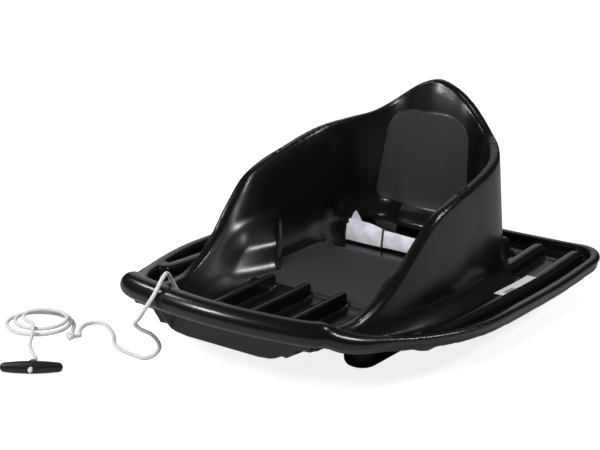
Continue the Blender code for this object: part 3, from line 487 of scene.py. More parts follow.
def inner_offset(p, out, z, top):
    """How far the inner wall lies inside the rim's inner edge at height z."""
    side, back = abs(out[0]), max(0.0, out[1])
    y = p[1] / HALF_L
    t = clamp((top - z) / (top - FLOOR))
    lean = SIDE_LEAN * (0.62 + 0.38 * smooth(-0.6, -0.2, y)) * side**4 + BACK_LEAN * back**4
    on = y - BOLSTER_TILT * (z - BOLSTER_MID)
    hip = BOLSTER * side**2 * smooth(*BOLSTER_Z, z) * clamp((on - BOLSTER_ON[0]) / BOLSTER_ON[1]) ** 1.5
    hip *= (1 - smooth(*BOLSTER_OFF, on)) * smooth(top - 0.002, top - 0.036, z)
    roll = LUMBAR * back**0.5 * math.exp(-((z - LUMBAR_Z) / LUMBAR_TALL) ** 2)
    roll *= 1 - smooth(*LUMBAR_ENDS, abs(p[0]) / SEAT_HALF)
    foot = 0.006 * clamp(1 - (z - FLOOR) / 0.016) ** 2
    return lean * t**0.85 + hip + roll + foot


def seat_section(p, out):
    """Ring of the seat wall in the upright plane across the rim curve."""
    half, top = RIM_BAND / 2, p[2]
    d = min(deck(p[1]), top - 0.015)  # foot of the outer side
    base = min(d, FLOOR) - 0.5 * DECK_SKIN
    foot = max(GUTTER, base + 0.0015)  # foot of the inner side
    tall = min(FLARE_TALL, 0.8 * (top - 0.005 - d))
    spread = FLARE * tall / FLARE_TALL * (0.2 + 0.8 * smooth(-0.55, 0.05, p[1] / HALF_L))
    turn = math.degrees(math.atan2(out[1], abs(out[0])))
    square = CORNER * math.exp(-((turn - SQUARED[0]) / SQUARED[1]) ** 2) if p[1] > 0 else 0.0
    thin = 1 - smooth(-0.8, -0.64, p[1] / HALF_L)
    toward = -unit([p[0], max(0.0, p[1] - SEAT_MID)])

    def outer(z):
        flare = spread * max(0.0, 1 - (z - d) / tall) ** 2.2
        flare += square * max(0.0, 1 - (z - d) / CORNER_TALL)
        return half + SEAT_DRAFT * (top - z) / (top - d) + flare

    def placed(o, z, a=0.0):
        return np.array([p[0] + out[0] * o + toward[0] * a, p[1] + out[1] * o + toward[1] * a, z])

    def inner(z, o=-half):
        return placed(o, z, inner_offset(p, out, max(z, GUTTER), top - SHOULDER))

    low = d + tall * np.linspace(0.0, 0.9, 12)
    high = d + tall + (top - 0.004 - d - tall) * np.linspace(0.05, 0.95, 12)
    ring = [placed(outer(d) - 0.012 * thin, d - 0.4 * DECK_SKIN)]
    ring += [placed(outer(z), z) for z in (*low, *high)]
    ring += [placed(o, top - z) for o, z in (
        (half, 0.0034), (half - 0.001, 0.001), (half - 0.0034, 0.0),
        (-half + 0.0026, 0.0), (-half + 0.0007, 0.0008), (-half, SHOULDER))]
    ring += [inner(z) for z in top - SHOULDER - (top - SHOULDER - foot) * np.linspace(0.05, 1.0, 40)]
    ring.append(inner(base))
    first, last = ring[0], ring[-1]
    for k, z in ((1 / 3, base), (2 / 3, d - 0.004)):
        slant = last + (first - last) * k
        ring.append(slant + (inner(z, WALL_SKIN - half) - slant) * thin)
    return ring


def seat_wall(count):
    curve = seat_rim(count)
    ways = unit(np.gradient(curve[:, :2], axis=0))
    return loft("seat wall", [seat_section(p, (q[1], -q[0])) for p, q in zip(curve, ways)])


def tub_floor():
    """Footwell, seat floor and the channel behind it."""
    f, p, g, rear = FLOOR, PLATFORM, GUTTER, PLATFORM_REAR
    wall = deck(-HALF_L) + 0.0025
    keys = [(k * HALF_L, z) for k, z in (
        (-0.882, wall), (-0.864, wall), (-0.862, f + 0.004), (-0.855, f), (-0.77, f), (-0.65, f),
        (-0.33, f), (-0.3, f + 0.3 * (p - f)), (-0.26, p))]
    keys += [(rear - 0.01, p), (rear - 0.004, p - 0.0012), (rear, p - 0.004),
             (rear + 0.002, g + 0.003), (rear + 0.006, g), (0.63 * HALF_L, g)]
    rings = []
    for y, z in keys:
        k = y / HALF_L
        w = SEAT_HALF * (0.6 + 0.2 * smooth(-0.75, -0.2, k))
        top_w = 0.745 * SEAT_HALF if z > f + 0.002 and k < -0.5 else w + 0.002
        top_w = max(top_w, w + 0.002 + 0.008 * (1 - smooth(-0.6, -0.3, k)))
        low = f - 0.003 - (f - 0.003 - HULL_BOTTOM - 0.003) * smooth(-0.76, -0.66, k)
        w -= 0.006
        rings.append([(-w, y, low), (w, y, low), (top_w, y, z), (-top_w, y, z)])
    return loft("tub floor", rings)


def bar(name, x, y0, y1, width, low, top, rise=None, nose=True, soft=0.0025):
    """Long rib with a rounded top and rounded ends."""
    r = width / 2
    rings = []
    turn = np.linspace(0, math.pi / 2, 8)[1:]
    ys = [(v, 1.0) for v in np.linspace(y0 + (r if nose else 0.0), y1 - r, 24)]
    ys += [(y1 - r + r * math.sin(a), max(0.12, math.cos(a))) for a in turn]
    if nose:
        ys = [(y0 + r - r * math.sin(a), max(0.12, math.cos(a))) for a in turn[::-1]] + ys
    for y, k in ys:
        t = top + (rise(y) if rise else 0.0)
        w = r * k
        drop = 1.2 * soft * (1 - k)
        e = min(0.9 * w, 1.3 * soft)
        right = [(x + w * 0.97 - e * (1 - math.cos(a)), t - drop - soft * (1 - math.sin(a)))
                 for a in np.linspace(0, math.pi / 2, 9)]
        ring = [(x + w, low(y))] + right + [(2 * x - q, z) for q, z in right[::-1]] + [(x - w, low(y))]
        rings.append([(q, y, z) for q, z in ring])
    return loft(name, rings)


def hull():
    """Belly under the footwell and seat, shallow at the lip and deeper behind it."""
    rings = []
    for y, wide, deep, slope in HULL_SHAPE:
        w = HULL_HALF * wide
        top = FLOOR - 0.0015 - 0.0115 * smooth(-0.6, -0.4, y)
        h = (top - HULL_BOTTOM) * deep
        right = [(w, top), (w - 0.04 * slope, top - 0.3 * h), (w - 0.24 * slope, top - 0.64 * h),
                 (w - 0.6 * slope, top - 0.91 * h), (w - slope, top - h)]
        y = max(y * HALF_L, -HULL_FRONT)
        rings.append([(x, y, z) for x, z in right] + [(-x, y, z) for x, z in right[::-1]])
    return loft("hull", rings)


def keel():
    """Rounded central runner."""
    low = HULL_BOTTOM + 0.004
    rings = []
    for y, k in KEEL_SHAPE:
        w = KEEL_HALF * (0.55 + 0.45 * k)
        depth = (low - KEEL_BOTTOM) * k
        ring = [(w * math.cos(a), y, low - depth * math.sin(a) ** 0.8)
                for a in np.linspace(0, math.pi, 13)]
        rings.append([(w, y, low + 0.004)] + ring + [(-w, y, low + 0.004)])
    return loft("keel", rings)


def runner(x, width, y0, length, nose, top, r=0.0075):
    """Straight runner with a flat sole, a rounded nose and rounded lower edges."""
    rings = []
    for inset, z in ((0.0, top), (0.0, r), (0.12 * r, 0.55 * r), (0.4 * r, 0.18 * r), (0.85 * r, 0.0)):
        w = width / 2 - inset
        a, b = y0 + inset, y0 + length - inset
        pts = rounded_outline([(x - w, a, nose), (x + w, a, nose), (x + w, b, 0.6 * nose),
                               (x - w, b, 0.6 * nose)])
        rings.append([(p, q, z) for p, q in pts])
    return loft("runner", rings)


def drill(x, y, z0, z1, r):
    """Upright round body to cut a hole with."""
    across, ahead, _ = np.eye(3)
    return loft("drill", [circle(np.array([x, y, z]), across, ahead, r, 19) for z in (z0, z1)])


# Materials: values that vary over a surface, written as plain arithmetic

def worked_out(how):
    """One operation of a Math node, as a method of Value."""
    return lambda self, *others: self.math(how, *others)


class Value:
    """A socket that takes part in Python's arithmetic through Math nodes."""

    def __init__(self, finish, socket):
        self.finish = finish
        self.socket = socket

    def math(self, how, *others):
        return self.finish.node("ShaderNodeMath", {"operation": how}, [self, *others])

    __add__ = __radd__ = worked_out("ADD")
    __sub__ = worked_out("SUBTRACT")
    __mul__ = __rmul__ = worked_out("MULTIPLY")
    __truediv__ = worked_out("DIVIDE")
    __abs__ = worked_out("ABSOLUTE")
    sin = worked_out("SINE")
    root = worked_out("SQRT")
    above = worked_out("MAXIMUM")
    under = worked_out("MINIMUM")
    over = worked_out("GREATER_THAN")

    def __rsub__(self, other):
        return self.finish.node("ShaderNodeMath", {"operation": "SUBTRACT"}, [other, self])

    def rise(self, low, high):
        """0 below low, 1 above high, smooth between them."""
        return self.finish.node("ShaderNodeMapRange", {"interpolation_type": "SMOOTHSTEP"},
                                [self, low, high, 0.0, 1.0])


class Finish:
    """One material with a Principled shader and its nodes."""

    def __init__(self, name, **constants):
        self.material = bpy.data.materials.new(name)
        self.material.use_nodes = True
        self.tree = self.material.node_tree
        self.shader = self.tree.nodes["Principled BSDF"]
        for key, value in constants.items():
            self.shader.inputs[key.replace("_", " ")].default_value = value

    def node(self, kind, settings=None, sockets=(), out=0):
        """A node of this type, with its settings, then the values or links of its sockets."""
        made = self.tree.nodes.new(kind)
        for key, value in (settings or {}).items():
            setattr(made, key, value)
        pairs = sockets.items() if isinstance(sockets, dict) else enumerate(sockets)
        for key, value in pairs:
            self.put(made.inputs[key], value)
        return Value(self, made.outputs[out])

    def put(self, socket, value):
        if isinstance(value, Value):
            self.tree.links.new(value.socket, socket)
        else:
            socket.default_value = value

    def parts(self, vector):
        """The x, y and z of a vector."""
        made = self.node("ShaderNodeSeparateXYZ", sockets=[vector])
        return [Value(self, s) for s in made.socket.node.outputs]

    def place(self):
        """The point in metres, whole and as x, y and z."""
        at = self.node("ShaderNodeTexCoord", out="Object")
        return at, self.parts(at)

    def facing(self):
        """x, y and z of the surface normal."""
        return self.parts(self.node("ShaderNodeNewGeometry", out="Normal"))

    def along(self):
        """Turn and length of a tube or strip from its own map."""
        return self.parts(self.node("ShaderNodeTexCoord", out="UV"))[:2]

    def noise(self, at, scale, detail=2.0, rough=0.5):
        return self.node("ShaderNodeTexNoise", None,
                         {"Vector": at, "Scale": scale, "Detail": detail, "Roughness": rough})

    def mix(self, share, *colours):
        """The first colour where share is 0, the second where it is 1."""
        a, b = ((*c, 1.0) if isinstance(c, tuple) else c for c in colours)
        return self.node("ShaderNodeMix", {"data_type": "RGBA"}, {0: share, 6: a, 7: b}, out=2)

    def set(self, key, value):
        self.put(self.shader.inputs[key], value)

    def bump(self, height, depth):
        self.set("Normal", self.node("ShaderNodeBump", None, {"Height": height, "Distance": depth}))


def panel_edge(x, z, above, root):
    """Signed distance to the edge of the matte back panel, below 0 inside it."""
    x = abs((x - PANEL_X) / (1.0 - PANEL_TAPER * (z - PANEL_LOW)))
    middle, half = (PANEL_LOW + PANEL_HIGH) / 2, (PANEL_HIGH - PANEL_LOW) / 2
    r = 0.014 + 0.012 * above((z - middle) * 40.0, 0.0)
    p, q = x - PANEL_HALF + r, abs(z - middle) - half + r
    far = root(above(p, 0.0) * above(p, 0.0) + above(q, 0.0) * above(q, 0.0))
    return far - above(-1.0 * above(p, q), 0.0) - r


def gloss_black():
    f = Finish("gloss_black", IOR=1.5)
    at, (x, y, z) = f.place()
    _, ny, nz = f.facing()
    edge = panel_edge(x, z, Value.above, Value.root)
    panel = (1.0 - edge.rise(-0.0012, 0.0002)) * (0.0 - ny).rise(0.3, 0.45) * y.over(PANEL_Y)
    pad = nz.rise(0.75, 0.95) * (1.0 - z.rise(*PAD_Z[1:])) * z.over(PAD_Z[0])
    pad = pad * (1.0 - abs(x).rise(*PAD_X)) * y.over(PAD_FRONT) * (1.0 - y.rise(*PAD_REAR))
    matte = (panel + pad).under(1.0)
    tone = f.noise(at, 9.0, 3.0)
    body = f.mix(pad, (0.0035, 0.0035, 0.004), (0.0345, 0.0332, 0.0315))
    cover = f.mix(tone.rise(0.3, 0.7), (0.02, 0.0172, 0.016), (0.0224, 0.0193, 0.018))
    f.set("Base Color", f.mix(panel, body, cover))
    fine = f.noise(at, 420.0, 3.0)
    scuff = f.noise(at, 60.0, 5.0, 0.7).rise(0.58, 0.72) * (1.0 - z.rise(0.004, 0.012))
    f.set("Roughness", 0.18 + tone * 0.05 + matte * 0.32 + fine * 0.05 + scuff * 0.25)
    grain = f.noise(at, 1500.0, 2.0)
    f.bump(grain * (0.06 + matte * 0.94) + f.noise(at, 160.0, 2.0) * (1.0 - matte) * 0.25, 0.00012)
    return f.material


def white_braid():
    f = Finish("white_braid", Sheen_Weight=0.25)
    u, v = f.along()
    a, b = u * 8.0 + v * 8.0, u * 8.0 - v * 8.0
    up, down = abs((a * math.pi).sin()), abs((b * math.pi).sin())
    which = ((u * 16.0 * math.pi).sin() * (v * 16.0 * math.pi).sin()).rise(-0.2, 0.2)
    weave = up * which + down * (1.0 - which)
    at, _ = f.place()
    # Painted shade: where the weave is low, in the grooves between the strands, the colour is darker.
    f.set("Base Color", f.mix(weave.rise(0.05, 0.55), (0.4, 0.4, 0.41), (0.66, 0.66, 0.655)))
    f.set("Roughness", 0.7 + f.noise(at, 900.0) * 0.2)
    f.bump(weave + f.noise(at, 2500.0) * 0.25, 0.00045)
    return f.material


def pale_web():
    f = Finish("pale_web", Sheen_Weight=0.3)
    u, v = f.along()
    warp = abs((u * 900.0 * math.pi).sin())
    weft = abs((v * 700.0 * math.pi).sin())
    at, _ = f.place()
    cloth = warp * 0.6 + weft * 0.4
    worn = f.noise(at, 70.0, 3.0).rise(0.3, 0.62)
    # Mostly a random worn tone; the other quarter is painted shade that darkens the lows of the weave.
    share = worn * 0.75 + cloth.rise(0.1, 0.7) * 0.25
    f.set("Base Color", f.mix(share, (0.56, 0.55, 0.62), (0.78, 0.77, 0.83)))
    f.set("Roughness", 0.72 + f.noise(at, 700.0) * 0.18)
    f.bump(cloth + f.noise(at, 1800.0) * 0.3, 0.00022)
    return f.material


def dark_elastic():
    f = Finish("dark_elastic")
    at, (_, _, z) = f.place()
    ribs = abs((z * 1500.0 * math.pi).sin())
    # Painted shade: the grooves between the ribs are coloured darker.
    f.set("Base Color", f.mix(ribs, (0.012, 0.012, 0.014), (0.04, 0.04, 0.046)))
    f.set("Roughness", 0.62 + f.noise(at, 800.0) * 0.2)
    f.bump(ribs, 0.00015)
    return f.material


def satin_black():
    f = Finish("satin_black")
    at, _ = f.place()
    tone = f.noise(at, 40.0, 4.0)
    f.set("Base Color", f.mix(tone, (0.0045, 0.0045, 0.005), (0.0085, 0.0085, 0.009)))
    f.set("Roughness", 0.34 + tone * 0.16)
    f.bump(f.noise(at, 1400.0) * 0.7 + tone * 0.3, 0.0001)
    return f.material


def bare_label():
    f = Finish("bare_label", Coat_Weight=0.15)
    at, (x, y, _) = f.place()
    tone = f.noise(at, 120.0, 4.0)
    patch = y.over(0.068) * (1.0 - y.over(0.089)) * x.over(0.1885)
    film = f.mix(tone, (0.56, 0.56, 0.57), (0.64, 0.64, 0.65))
    f.set("Base Color", f.mix(patch, film, (0.2, 0.2, 0.205)))
    f.set("Roughness", 0.36 + tone * 0.14)
    f.bump(f.noise(at, 900.0), 0.00005)
    return f.material


FINISHES = {"black_plastic": gloss_black(), "white_cord": white_braid(), "pale_webbing": pale_web(),
            "dark_elastic": dark_elastic(), "black_fittings": satin_black(), "white_label": bare_label()}


def finish(piece, slot, *nodes):
    """Give a piece its material and its place on the body, and hide the nodes that it stands for."""
    piece.data.materials.clear()
    piece.data.materials.append(FINISHES[slot])
    for face in piece.data.polygons:
        face.use_smooth = True
    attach(piece, "root")
    if nodes:
        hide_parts(*nodes)
    return piece


# Camera, pull cord and handle

def aim_camera():
    data = bpy.data.cameras.new("camera")
    data.lens = LENS
    data.sensor_width = 36.0
    camera = linked("camera", data)
    z, x, roll = (math.radians(v) for v in CAMERA_TURN)
    camera.matrix_world = (Matrix.Translation(CAMERA) @ Matrix.Rotation(z, 4, "Z")
                           @ Matrix.Rotation(x, 4, "X") @ Matrix.Rotation(roll, 4, "Z"))
    bpy.context.scene.camera = camera


def frames(p):
    """Directions across a path that turn as little as possible."""
    t = unit(np.gradient(p, axis=0))
    u = np.cross(t[0], [0.31, 0.17, 0.93])
    out = []
    for d in t:
        u = unit(u - d * (u @ d))
        out.append((u, np.cross(d, u)))
    return out


def tube(name, path, r, sides=16):
    """Round cord with a map of its turn and its length in turns."""
    p = np.array(path, float)
    long = travel(p) / (2 * math.pi * r)
    verts = [v for c, (a, b) in zip(p, frames(p)) for v in circle(c, a, b, r, sides)]
    mesh = drawn(name, verts, skin(len(p), sides))
    maps = [((j + s) / sides, long[i + t]) for i in range(len(p) - 1) for j in range(sides)
            for s, t in ((0, 0), (1, 0), (1, 1), (0, 1))]
    maps += [(0.5, long[0])] * sides + [(0.5, long[-1])] * sides
    layer = mesh.uv_layers.new(name="turn")
    for spot, uv in zip(layer.data, maps):
        spot.uv = uv
    return linked(name, mesh)


def length(points):
    return float(travel(points)[-1])


def evenly(points, step):
    """Points on a smooth curve, a step apart."""
    return through(points, max(8, int(length(points) / step)))


def overhand(name, centre, reach, r, tilt):
    """Tied overhand knot: one cord through a trefoil, pulled tight."""
    a = 2 * math.pi * np.arange(150) / 150
    big = 2.0 + np.cos(3 * a)
    p = np.stack([big * np.cos(2 * a), big * np.sin(2 * a), 1.25 * np.sin(3 * a)], 1) * (reach - r) / 3.0
    turn = Matrix.Rotation(math.radians(tilt), 3, "X") @ Matrix.Rotation(math.radians(25), 3, "Z")
    p = p @ np.array(turn).T + np.array(centre)
    return tube(name, np.vstack([p, p[:2]]), r, 12)


R = CORD_D / 2
LIE = R + 0.0003  # height of a cord that lies on the ground
POCKET = FLOOR - 0.006  # top of the wide hole for the stop knot
front = -HALF_L
lip_y = front + LIP_R
lip_z = LIP_TOP - LIP_R
stop = (CORD_X, CORD_Y, POCKET - GAP - 0.85 * KNOT_R)
knot = (HANK_X + 0.061, HANK_Y - 0.007, KNOT_R)
lead = [(CORD_X, CORD_Y, POCKET), (CORD_X, CORD_Y, FLOOR + 0.004),
        (CORD_X - 0.001, CORD_Y - 0.003, lip_z - 0.014), (CORD_X - 0.004, CORD_Y - 0.011, lip_z),
        (CORD_X - 0.004, CORD_Y - 0.02, LIP_TOP - 0.002),
        (CORD_X - 0.001, CORD_Y - 0.032, LIP_TOP + 0.0115),
        (CORD_X + 0.003, lip_y + 0.003, LIP_TOP + 0.01)]
lead += [(CORD_X + x, front + y, lip_z + z) for x, y, z in (  # down over the front of the lip
    (0.003, 0.004, 0.011), (-0.003, -0.005, -0.004), (-0.013, -0.006, -0.019),
    (-0.02, -0.005, -0.027), (-0.017, 0.001, -0.035), (-0.012, 0.012, -0.043),
    (-0.014, 0.027, -0.0585))]
lead += [(CORD_X - 0.021, front + 0.037, 0.018), (CORD_X - 0.032, front + 0.038, 0.0062)]
lead += [(x, y, LIE) for x, y in (  # along the ground to the hank
    (-0.119, -0.2375), (-0.134, -0.2385), (-0.157, -0.235), (-0.177, -0.226), (-0.195, -0.208),
    (-0.215, -0.193), (-0.232, -0.185), (-0.244, -0.188), (-0.2485, -0.198),
    (knot[0] - 0.0125, knot[1] + 0.033))]
lead += [(knot[0] - 0.0035, knot[1] + 0.0195, LIE + 0.0003),
         (knot[0] + 0.0052, knot[1] + 0.0105, KNOT_R - 0.001),
         (knot[0] + 0.6 * (KNOT_R + GAP), knot[1] + 0.8 * (KNOT_R + GAP), KNOT_R)]


def hank(count):
    """Loose oval loops that climb a little, as a hand leaves them on the ground."""
    pts = []
    for t in np.linspace(0, 1, count):
        a = math.radians(HANK_START + 360 * t * HANK_TURNS)
        r = HANK_R + (HANK_IN - HANK_R) * t
        pts.append((HANK_X + HANK_SHIFT * (HANK_R - r) + r * math.cos(a),
                    HANK_Y + HANK_FLAT * r * math.sin(a), LIE + (CORD_D + HANK_AIR) * t * HANK_TURNS))
    return np.array(pts)


loops = hank(int(24 * HANK_TURNS) + 2)
entry = np.array([knot[0], knot[1], LIE])
head = entry + unit(loops[0] - entry) * (KNOT_R + GAP)
turned = math.radians(HANDLE_TURN)
ALONG = np.array([math.cos(turned), math.sin(turned), 0.0])
BACK = np.array([-math.sin(turned), math.cos(turned), 0.0])
UP = np.array([0.0, 0.0, 1.0])
MID = np.array([HANDLE_X, HANDLE_Y, HANDLE_R + 0.0001])
seat = HANDLE_R - 0.003
run = unit(loops[-1] - loops[-2])
start = loops[-1] + run * GAP


def at_height(point, z):
    return np.array([point[0], point[1], z])


tail = [start, start + run * 0.006, start + [0.013, -0.005, 0.0008],
        start + [0.0215, -0.0125, -0.0005], start + [0.0275, -0.0215, -0.006],
        start + [0.033, -0.031, -0.0125], at_height(start + [0.0425, -0.039, 0.0], LIE + 0.0004),
        at_height(MID + BACK * 0.033, LIE + 0.002), at_height(MID + BACK * 0.024, MID[2] - 0.0008),
        MID + BACK * 0.015, MID + BACK * 0.008, MID, MID - BACK * seat]


def pull_cord():
    """The cord from its hole to the knot, then the hank with its end in the handle."""
    path = evenly(lead, CORD_STEP)
    first = tube("pull_cord_lead_braid", path, R)
    finish(first, "white_cord", "pull_cord_lead")
    stop_knot = finish(overhand("stop_knot_tied", stop, *STOP_KNOT), "white_cord", "cord_stop_knot")
    mid_knot = finish(overhand("hank_knot_tied", at_height(knot, knot[2] + 0.0011), *HANK_KNOT),
                      "white_cord", "hank_knot")
    rest = np.vstack([[head + (loops[0] - head) * k / 4 for k in range(4)], loops, tail[1:]])
    path = evenly(rest, CORD_STEP)
    second = tube("pull_cord_hank_braid", path, R)
    finish(second, "white_cord", "pull_cord_hank", "pull_cord_tail")
    end_knot = MID - BACK * (seat + KNOT_R * 0.9 + GAP)
    last_knot = finish(overhand("handle_knot_tied", end_knot, *HANDLE_KNOT),
                       "white_cord", "handle_knot")
    grip = handle()


def handle():
    """Bar of the T handle with its boss and bore."""
    half = HANDLE_LENGTH / 2
    rings = []
    for t in np.linspace(-1, 1, 61):  # closer to one another at the ends
        t = math.copysign(1 - (1 - abs(t)) ** 1.6, t)
        bar_r = HANDLE_END_R + (HANDLE_R - HANDLE_END_R) * (1 - abs(t) ** 1.8)
        end = max(0.0, (abs(t) - HANDLE_CAP) / (1 - HANDLE_CAP))
        r = bar_r * math.sqrt(max(0.03, 1 - 0.97 * end**2.4))
        rings.append(circle(MID + ALONG * half * t, UP, BACK, r, 48))
    grip = loft("pull_handle_grip", rings)
    cut(grip, loft("boss", [circle(MID + BACK * d, ALONG, UP, r, 46, 0.07) for d, r in (
        (0.0004, BOSS_R), (HANDLE_R + 0.0036, BOSS_R), (HANDLE_R + 0.0046, BOSS_R - 0.0004),
        (HANDLE_R + 0.005, BOSS_R - 0.0014))]), "UNION")
    for a, b, r in ((-2 * HANDLE_R, 3 * HANDLE_R, R + CORD_PLAY * 0.5),
                    (-2 * HANDLE_R, 0.003 - HANDLE_R, KNOT_R * 0.9 + 0.0006)):
        cut(grip, loft("bore", [circle(MID + BACK * d, ALONG, UP, r, 38, 0.11 + 40 * r) for d in (a, b)]))
    softened(grip, 0.0003, 2, 50)
    return finish(grip, "black_fittings", "pull_handle")


aim_camera()
pull_cord()


# Moulded shell

def merged(name, pieces):
    """All the pieces as one mesh, each still closed."""
    b = bmesh.new()
    for piece in pieces:
        b.from_mesh(piece.data)
        bpy.data.objects.remove(piece, do_unlink=True)
    mesh = drawn(name, [], [])
    b.to_mesh(mesh)
    b.free()
    return linked(name, mesh)


def ribs():
    made = [bar("rib", k * RIB_PITCH, -0.872 * HALF_L, -0.255 * HALF_L, RIB_W,
                lambda y: FLOOR - 0.002, RIB_TOP, nose=False) for k in (-1, 0, 1)]
    for side in (-1, 1):
        for k, start in ((0, -0.46), (1, -0.22), (2, 0.6)):
            x = side * (DECK_RIB_X - k * DECK_RIB_PITCH)
            made.append(bar("deck rib", x, start * HALF_L, HALF_L - 0.02 - k * 0.001, DECK_RIB_W,
                            lambda y: deck(y) - 0.004, 0.0, soft=0.008,
                            rise=lambda y, x=x: rim_top(y) - rear_dip(x, y) - DECK_RIB_DROP))
    return made


def feet():
    made = [keel()]
    for side in (-1, 1):
        made += [runner(side * RUNNER_X, RUNNER_W, RUNNER_FRONT, RUNNER_LENGTH, 0.019, HULL_BOTTOM + 0.012),
                 runner(side * SKID_X, SKID_W, SKID_FRONT, SKID_LENGTH, 0.005,
                        deck(0) - 0.6 * DECK_SKIN, 0.005)]
    return made


def openings():
    """Cord hole with its pocket, belt slots and the small slots in the rim."""
    made = [drill(CORD_X, CORD_Y, -0.01, FLOOR + 0.02, R + CORD_PLAY),
            drill(CORD_X, CORD_Y, -0.011, POCKET, KNOT_R + 0.001)]
    for side in (-1, 1):
        made.append(box("slot", (side * SLOT_X - WEB_W / 2 - 0.0015, 0.125, SLOT_Z - WEB_T / 2 - GAP),
                        (side * SLOT_X + WEB_W / 2 + 0.0015, 0.158 + SLOT_DEEP, SLOT_Z + 0.0025)))
        x, y, z = side * NOTCH[0], NOTCH[1], NOTCH[2]
        made.append(box("notch", (x - NOTCH_W / 2, y - NOTCH_LONG / 2, z),
                        (x + NOTCH_W / 2, y + NOTCH_LONG / 2, z + 0.02)))
    return made


def field(mesh, key):
    """The co or normal of each point, in rows."""
    v = np.empty(len(mesh.vertices) * 3)
    mesh.vertices.foreach_get(key, v)
    return v.reshape(-1, 3)


def put(mesh, v):
    mesh.vertices.foreach_set("co", v.ravel())
    mesh.update()


def fair(mesh, rounds):
    """Smooth a mesh without shrinking it."""
    v = field(mesh, "co")
    e = np.empty(len(mesh.edges) * 2, dtype=np.int64)
    mesh.edges.foreach_get("vertices", e)
    a, b = e.reshape(-1, 2).T
    n = len(v)
    share = (np.bincount(a, minlength=n) + np.bincount(b, minlength=n))[:, None]
    for pull in (0.55, -0.57) * rounds:
        mean = np.stack([np.bincount(a, q[b], n) + np.bincount(b, q[a], n) for q in v.T], 1) / share
        v = v + pull * (mean - v)
    put(mesh, v)
    return v


def shell():
    pan = pan_body(PAN_STEPS)
    # room for the footwell in the pan
    cut(pan, box("tub cutter", (-0.71 * SEAT_HALF, -0.865 * HALF_L, FLOOR - 0.002),
                 (0.71 * SEAT_HALF, -0.2 * HALF_L, LIP_TOP)))
    body = merged("moulded_shell", [pan, hull(), tub_floor(), seat_wall(WALL_STEPS)] + ribs() + feet())
    applied(body, "REMESH", mode="VOXEL", voxel_size=VOXEL)
    v = fair(body.data, FAIRING)
    n = field(body.data, "normal")
    edge = panel_edge(v[:, 0], v[:, 2], np.maximum, np.sqrt)
    t = np.clip((0.001 - edge) / 0.0022, 0, 1) * (n[:, 1] < -0.35) * (v[:, 1] > PANEL_Y)
    put(body.data, v + n * (PANEL_PROUD * t * t * (3 - 2 * t))[:, None])
    cut(body, merged("openings", openings()))
    return finish(body, "black_plastic", "sled_shell")


shell()


# Lap belt, buckle and label

pitch = WEB_T + WEB_AIR
thick = FOLD_LAYERS * WEB_T + (FOLD_LAYERS - 1) * WEB_AIR
lean = math.radians(BUNDLE_LEAN)
BASE_Z = GUTTER + 2 * GAP + BAND_T


def leaned(x, y, z):
    """Bundle coordinates to the sled's: y from its front face, z from its lower edge."""
    return (BUNDLE_X + x, BUNDLE_Y + y * math.cos(lean) + z * math.sin(lean),
            BASE_Z + z * math.cos(lean) - y * math.sin(lean) + thick * math.sin(lean))


def strip(name, rows, t):
    """Webbing through rows of (low edge, high edge, side), with a map in metres."""
    rows = np.array(rows, float)
    verts, maps = [], []
    for (low, high, side), long in zip(rows, travel(rows[:, :2].mean(axis=1))):
        for u, w in WEB_EDGE:
            verts.append(low + (high - low) * u + unit(side) * t / 2 * w)
            maps.append((u * np.linalg.norm(high - low), long))
    mesh = drawn(name, verts, skin(len(rows), len(WEB_EDGE)))
    layer = mesh.uv_layers.new(name="cloth")
    for corner in mesh.loops:
        layer.data[corner.index].uv = maps[corner.vertex_index]
    outward(mesh)
    return linked(name, mesh)


def folded_belt():
    """Webbing folded to and fro, its layers slightly uneven."""
    half = BUNDLE_LENGTH / 2
    path, heights = [], []
    for i in range(FOLD_LAYERS):
        y = WEB_T / 2 + i * pitch
        way = 1 if i % 2 == 0 else -1
        before, reach = (half - thick / 2 - FOLD_STEP * (k % 3) for k in (max(0, i - 1), i))
        for x in np.linspace(-way * before, way * reach, 40):
            path.append((x, y + 0.00012 * math.sin(x * 130 + i)))
            heights.append(0.0006 * math.sin(i * 2.1 + 0.7) + 0.0005 * math.sin(x * 55 + 1.3 * i))
        if i < FOLD_LAYERS - 1:
            for a in np.linspace(-math.pi / 2, math.pi / 2, 9)[1:-1]:
                path.append((way * (reach + pitch / 2 * math.cos(a)), y + pitch / 2 * (1 + math.sin(a))))
                heights.append(heights[-1])
    p = np.array(path)
    rows = []
    for q, s, h in zip(p, unit(np.gradient(p, axis=0)), heights):
        tall = (WEB_W - 0.004) * (1 - 0.1 * smooth(0.006, 0.045, q[0])) + 1.6 * h
        if q[1] > thick / 2:  # the rear folds stand higher at the left
            tall += 0.0048 * smooth(0.012, -0.028, q[0])
        low, high = leaned(q[0], q[1], max(0.0, h)), leaned(q[0], q[1], tall)
        off = np.array(leaned(q[0] - s[1], q[1] + s[0], 0.0)) - np.array(leaned(q[0], q[1], 0.0))
        rows.append((low, high, off))
    return finish(strip("folded_belt", rows, WEB_T), "pale_webbing", "belt_bundle")


def loose_end():
    """The belt's end, which leans out of the bundle and narrows."""
    y = thick + WEB_AIR + WEB_T / 2
    rows = []
    for t in np.linspace(0, 1, 24):
        x = -0.0495 - 0.008 * t
        w = WEB_W / 2 * (1.0 - 0.25 * t**2)
        z = 0.014 + 0.025 * t
        bow = 0.0012 * math.sin(math.pi * t) - 0.3 * max(0.0, z - WEB_W - 0.001)
        rows.append((leaned(x - w * (1 - 1.55 * t**1.6), y + bow, z - 0.003 * t),
                     leaned(x + 0.95 * w, y + bow, z), (0.0, 1.0, 0.1)))
    return finish(strip("belt_loose_end", rows, WEB_T), "pale_webbing", "belt_free_end")


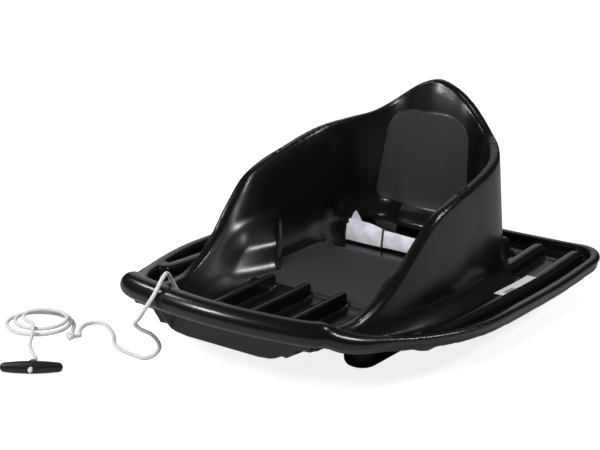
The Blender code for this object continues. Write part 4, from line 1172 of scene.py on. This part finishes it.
def straps():
    back = BUNDLE_Y + thick * math.cos(lean) + (SLOT_Z - BASE_Z) * math.sin(lean) + 0.0006
    for name, x in (("left", -SLOT_X), ("right", SLOT_X)):
        rows = []
        for t in np.linspace(0, 1, 20):
            y = back + t * (0.155 + SLOT_DEEP - back)
            z = SLOT_Z - 0.0006 * (1 - smooth(back, back + 0.01, y))
            rows.append(((x - WEB_W / 2, y, z), (x + WEB_W / 2, y, z), (0.0, 0.0, 1.0)))
        finish(strip("strap_" + name, rows, WEB_T), "pale_webbing", "belt_strap_" + name)


def dressed(node, name, slot, width, segments=3):
    """A finer copy of a node with its edges rounded."""
    ob = linked(name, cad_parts[node].data.copy())
    softened(ob, width, segments, 35)
    finish(ob, slot, node)
    modifier(ob, "WEIGHTED_NORMAL", keep_sharp=True)


folded_belt()
loose_end()
straps()
dressed("elastic_band", "elastic_band_soft", "dark_elastic", 0.00025)
dressed("buckle_socket", "buckle_socket_moulded", "black_fittings", 0.0005)
dressed("buckle_plug", "buckle_plug_moulded", "black_fittings", 0.0004)
dressed("blank_label", "blank_label_film", "white_label", 0.00012, 2)


# Floor, light and background

def studio():
    white = (1.0, 1.0, 1.0, 1.0)
    f = Finish("pale_floor", Base_Color=(0.5, 0.5, 0.5, 1.0), Specular_IOR_Level=0.0)
    at, _ = f.place()
    f.set("Roughness", 0.85 + f.noise(at, 30.0) * 0.1)
    bare = Value(f, f.shader.outputs[0])
    seen = f.node("ShaderNodeLightPath", out="Is Camera Ray")
    glow = f.node("ShaderNodeEmission", None, {"Color": white, "Strength": FLOOR_GLOW})
    both = f.node("ShaderNodeAddShader", None, [bare, glow])
    shown = f.node("ShaderNodeMixShader", None, [seen, bare, both])
    f.put(f.tree.nodes["Material Output"].inputs["Surface"], shown)
    r, z = FLOOR_HALF, -0.0005
    mesh = drawn("floor", [(-r, -r, z), (r, -r, z), (r, r, z), (-r, r, z)], [(0, 1, 2, 3)])
    mesh.materials.append(f.material)
    linked("floor", mesh)
    world = bpy.data.worlds.new("studio")
    world.use_nodes = True
    bpy.context.scene.world = world
    tree = world.node_tree
    back = tree.nodes["Background"]
    back.inputs["Color"].default_value = white
    path = tree.nodes.new("ShaderNodeLightPath")
    level = tree.nodes.new("ShaderNodeMapRange")
    level.inputs[3].default_value = WORLD_LEVEL
    tree.links.new(path.outputs["Is Camera Ray"], level.inputs[0])
    tree.links.new(level.outputs[0], back.inputs["Strength"])
    for name, way, far, wide, power, mirrored in LAMPS:
        data = bpy.data.lights.new(name, "AREA")
        data.shape, data.size, data.energy = "DISK", wide, power
        lamp = linked(name, data)
        way = unit(way)
        lamp.location = way * far + [0.0, 0.0, LAMP_AIM]
        lamp.visible_glossy = mirrored
        lamp.rotation_mode = "QUATERNION"
        lamp.rotation_quaternion = Vector(way).to_track_quat("Z", "Y")


studio()
bpy.context.scene.view_settings.view_transform = "Standard"
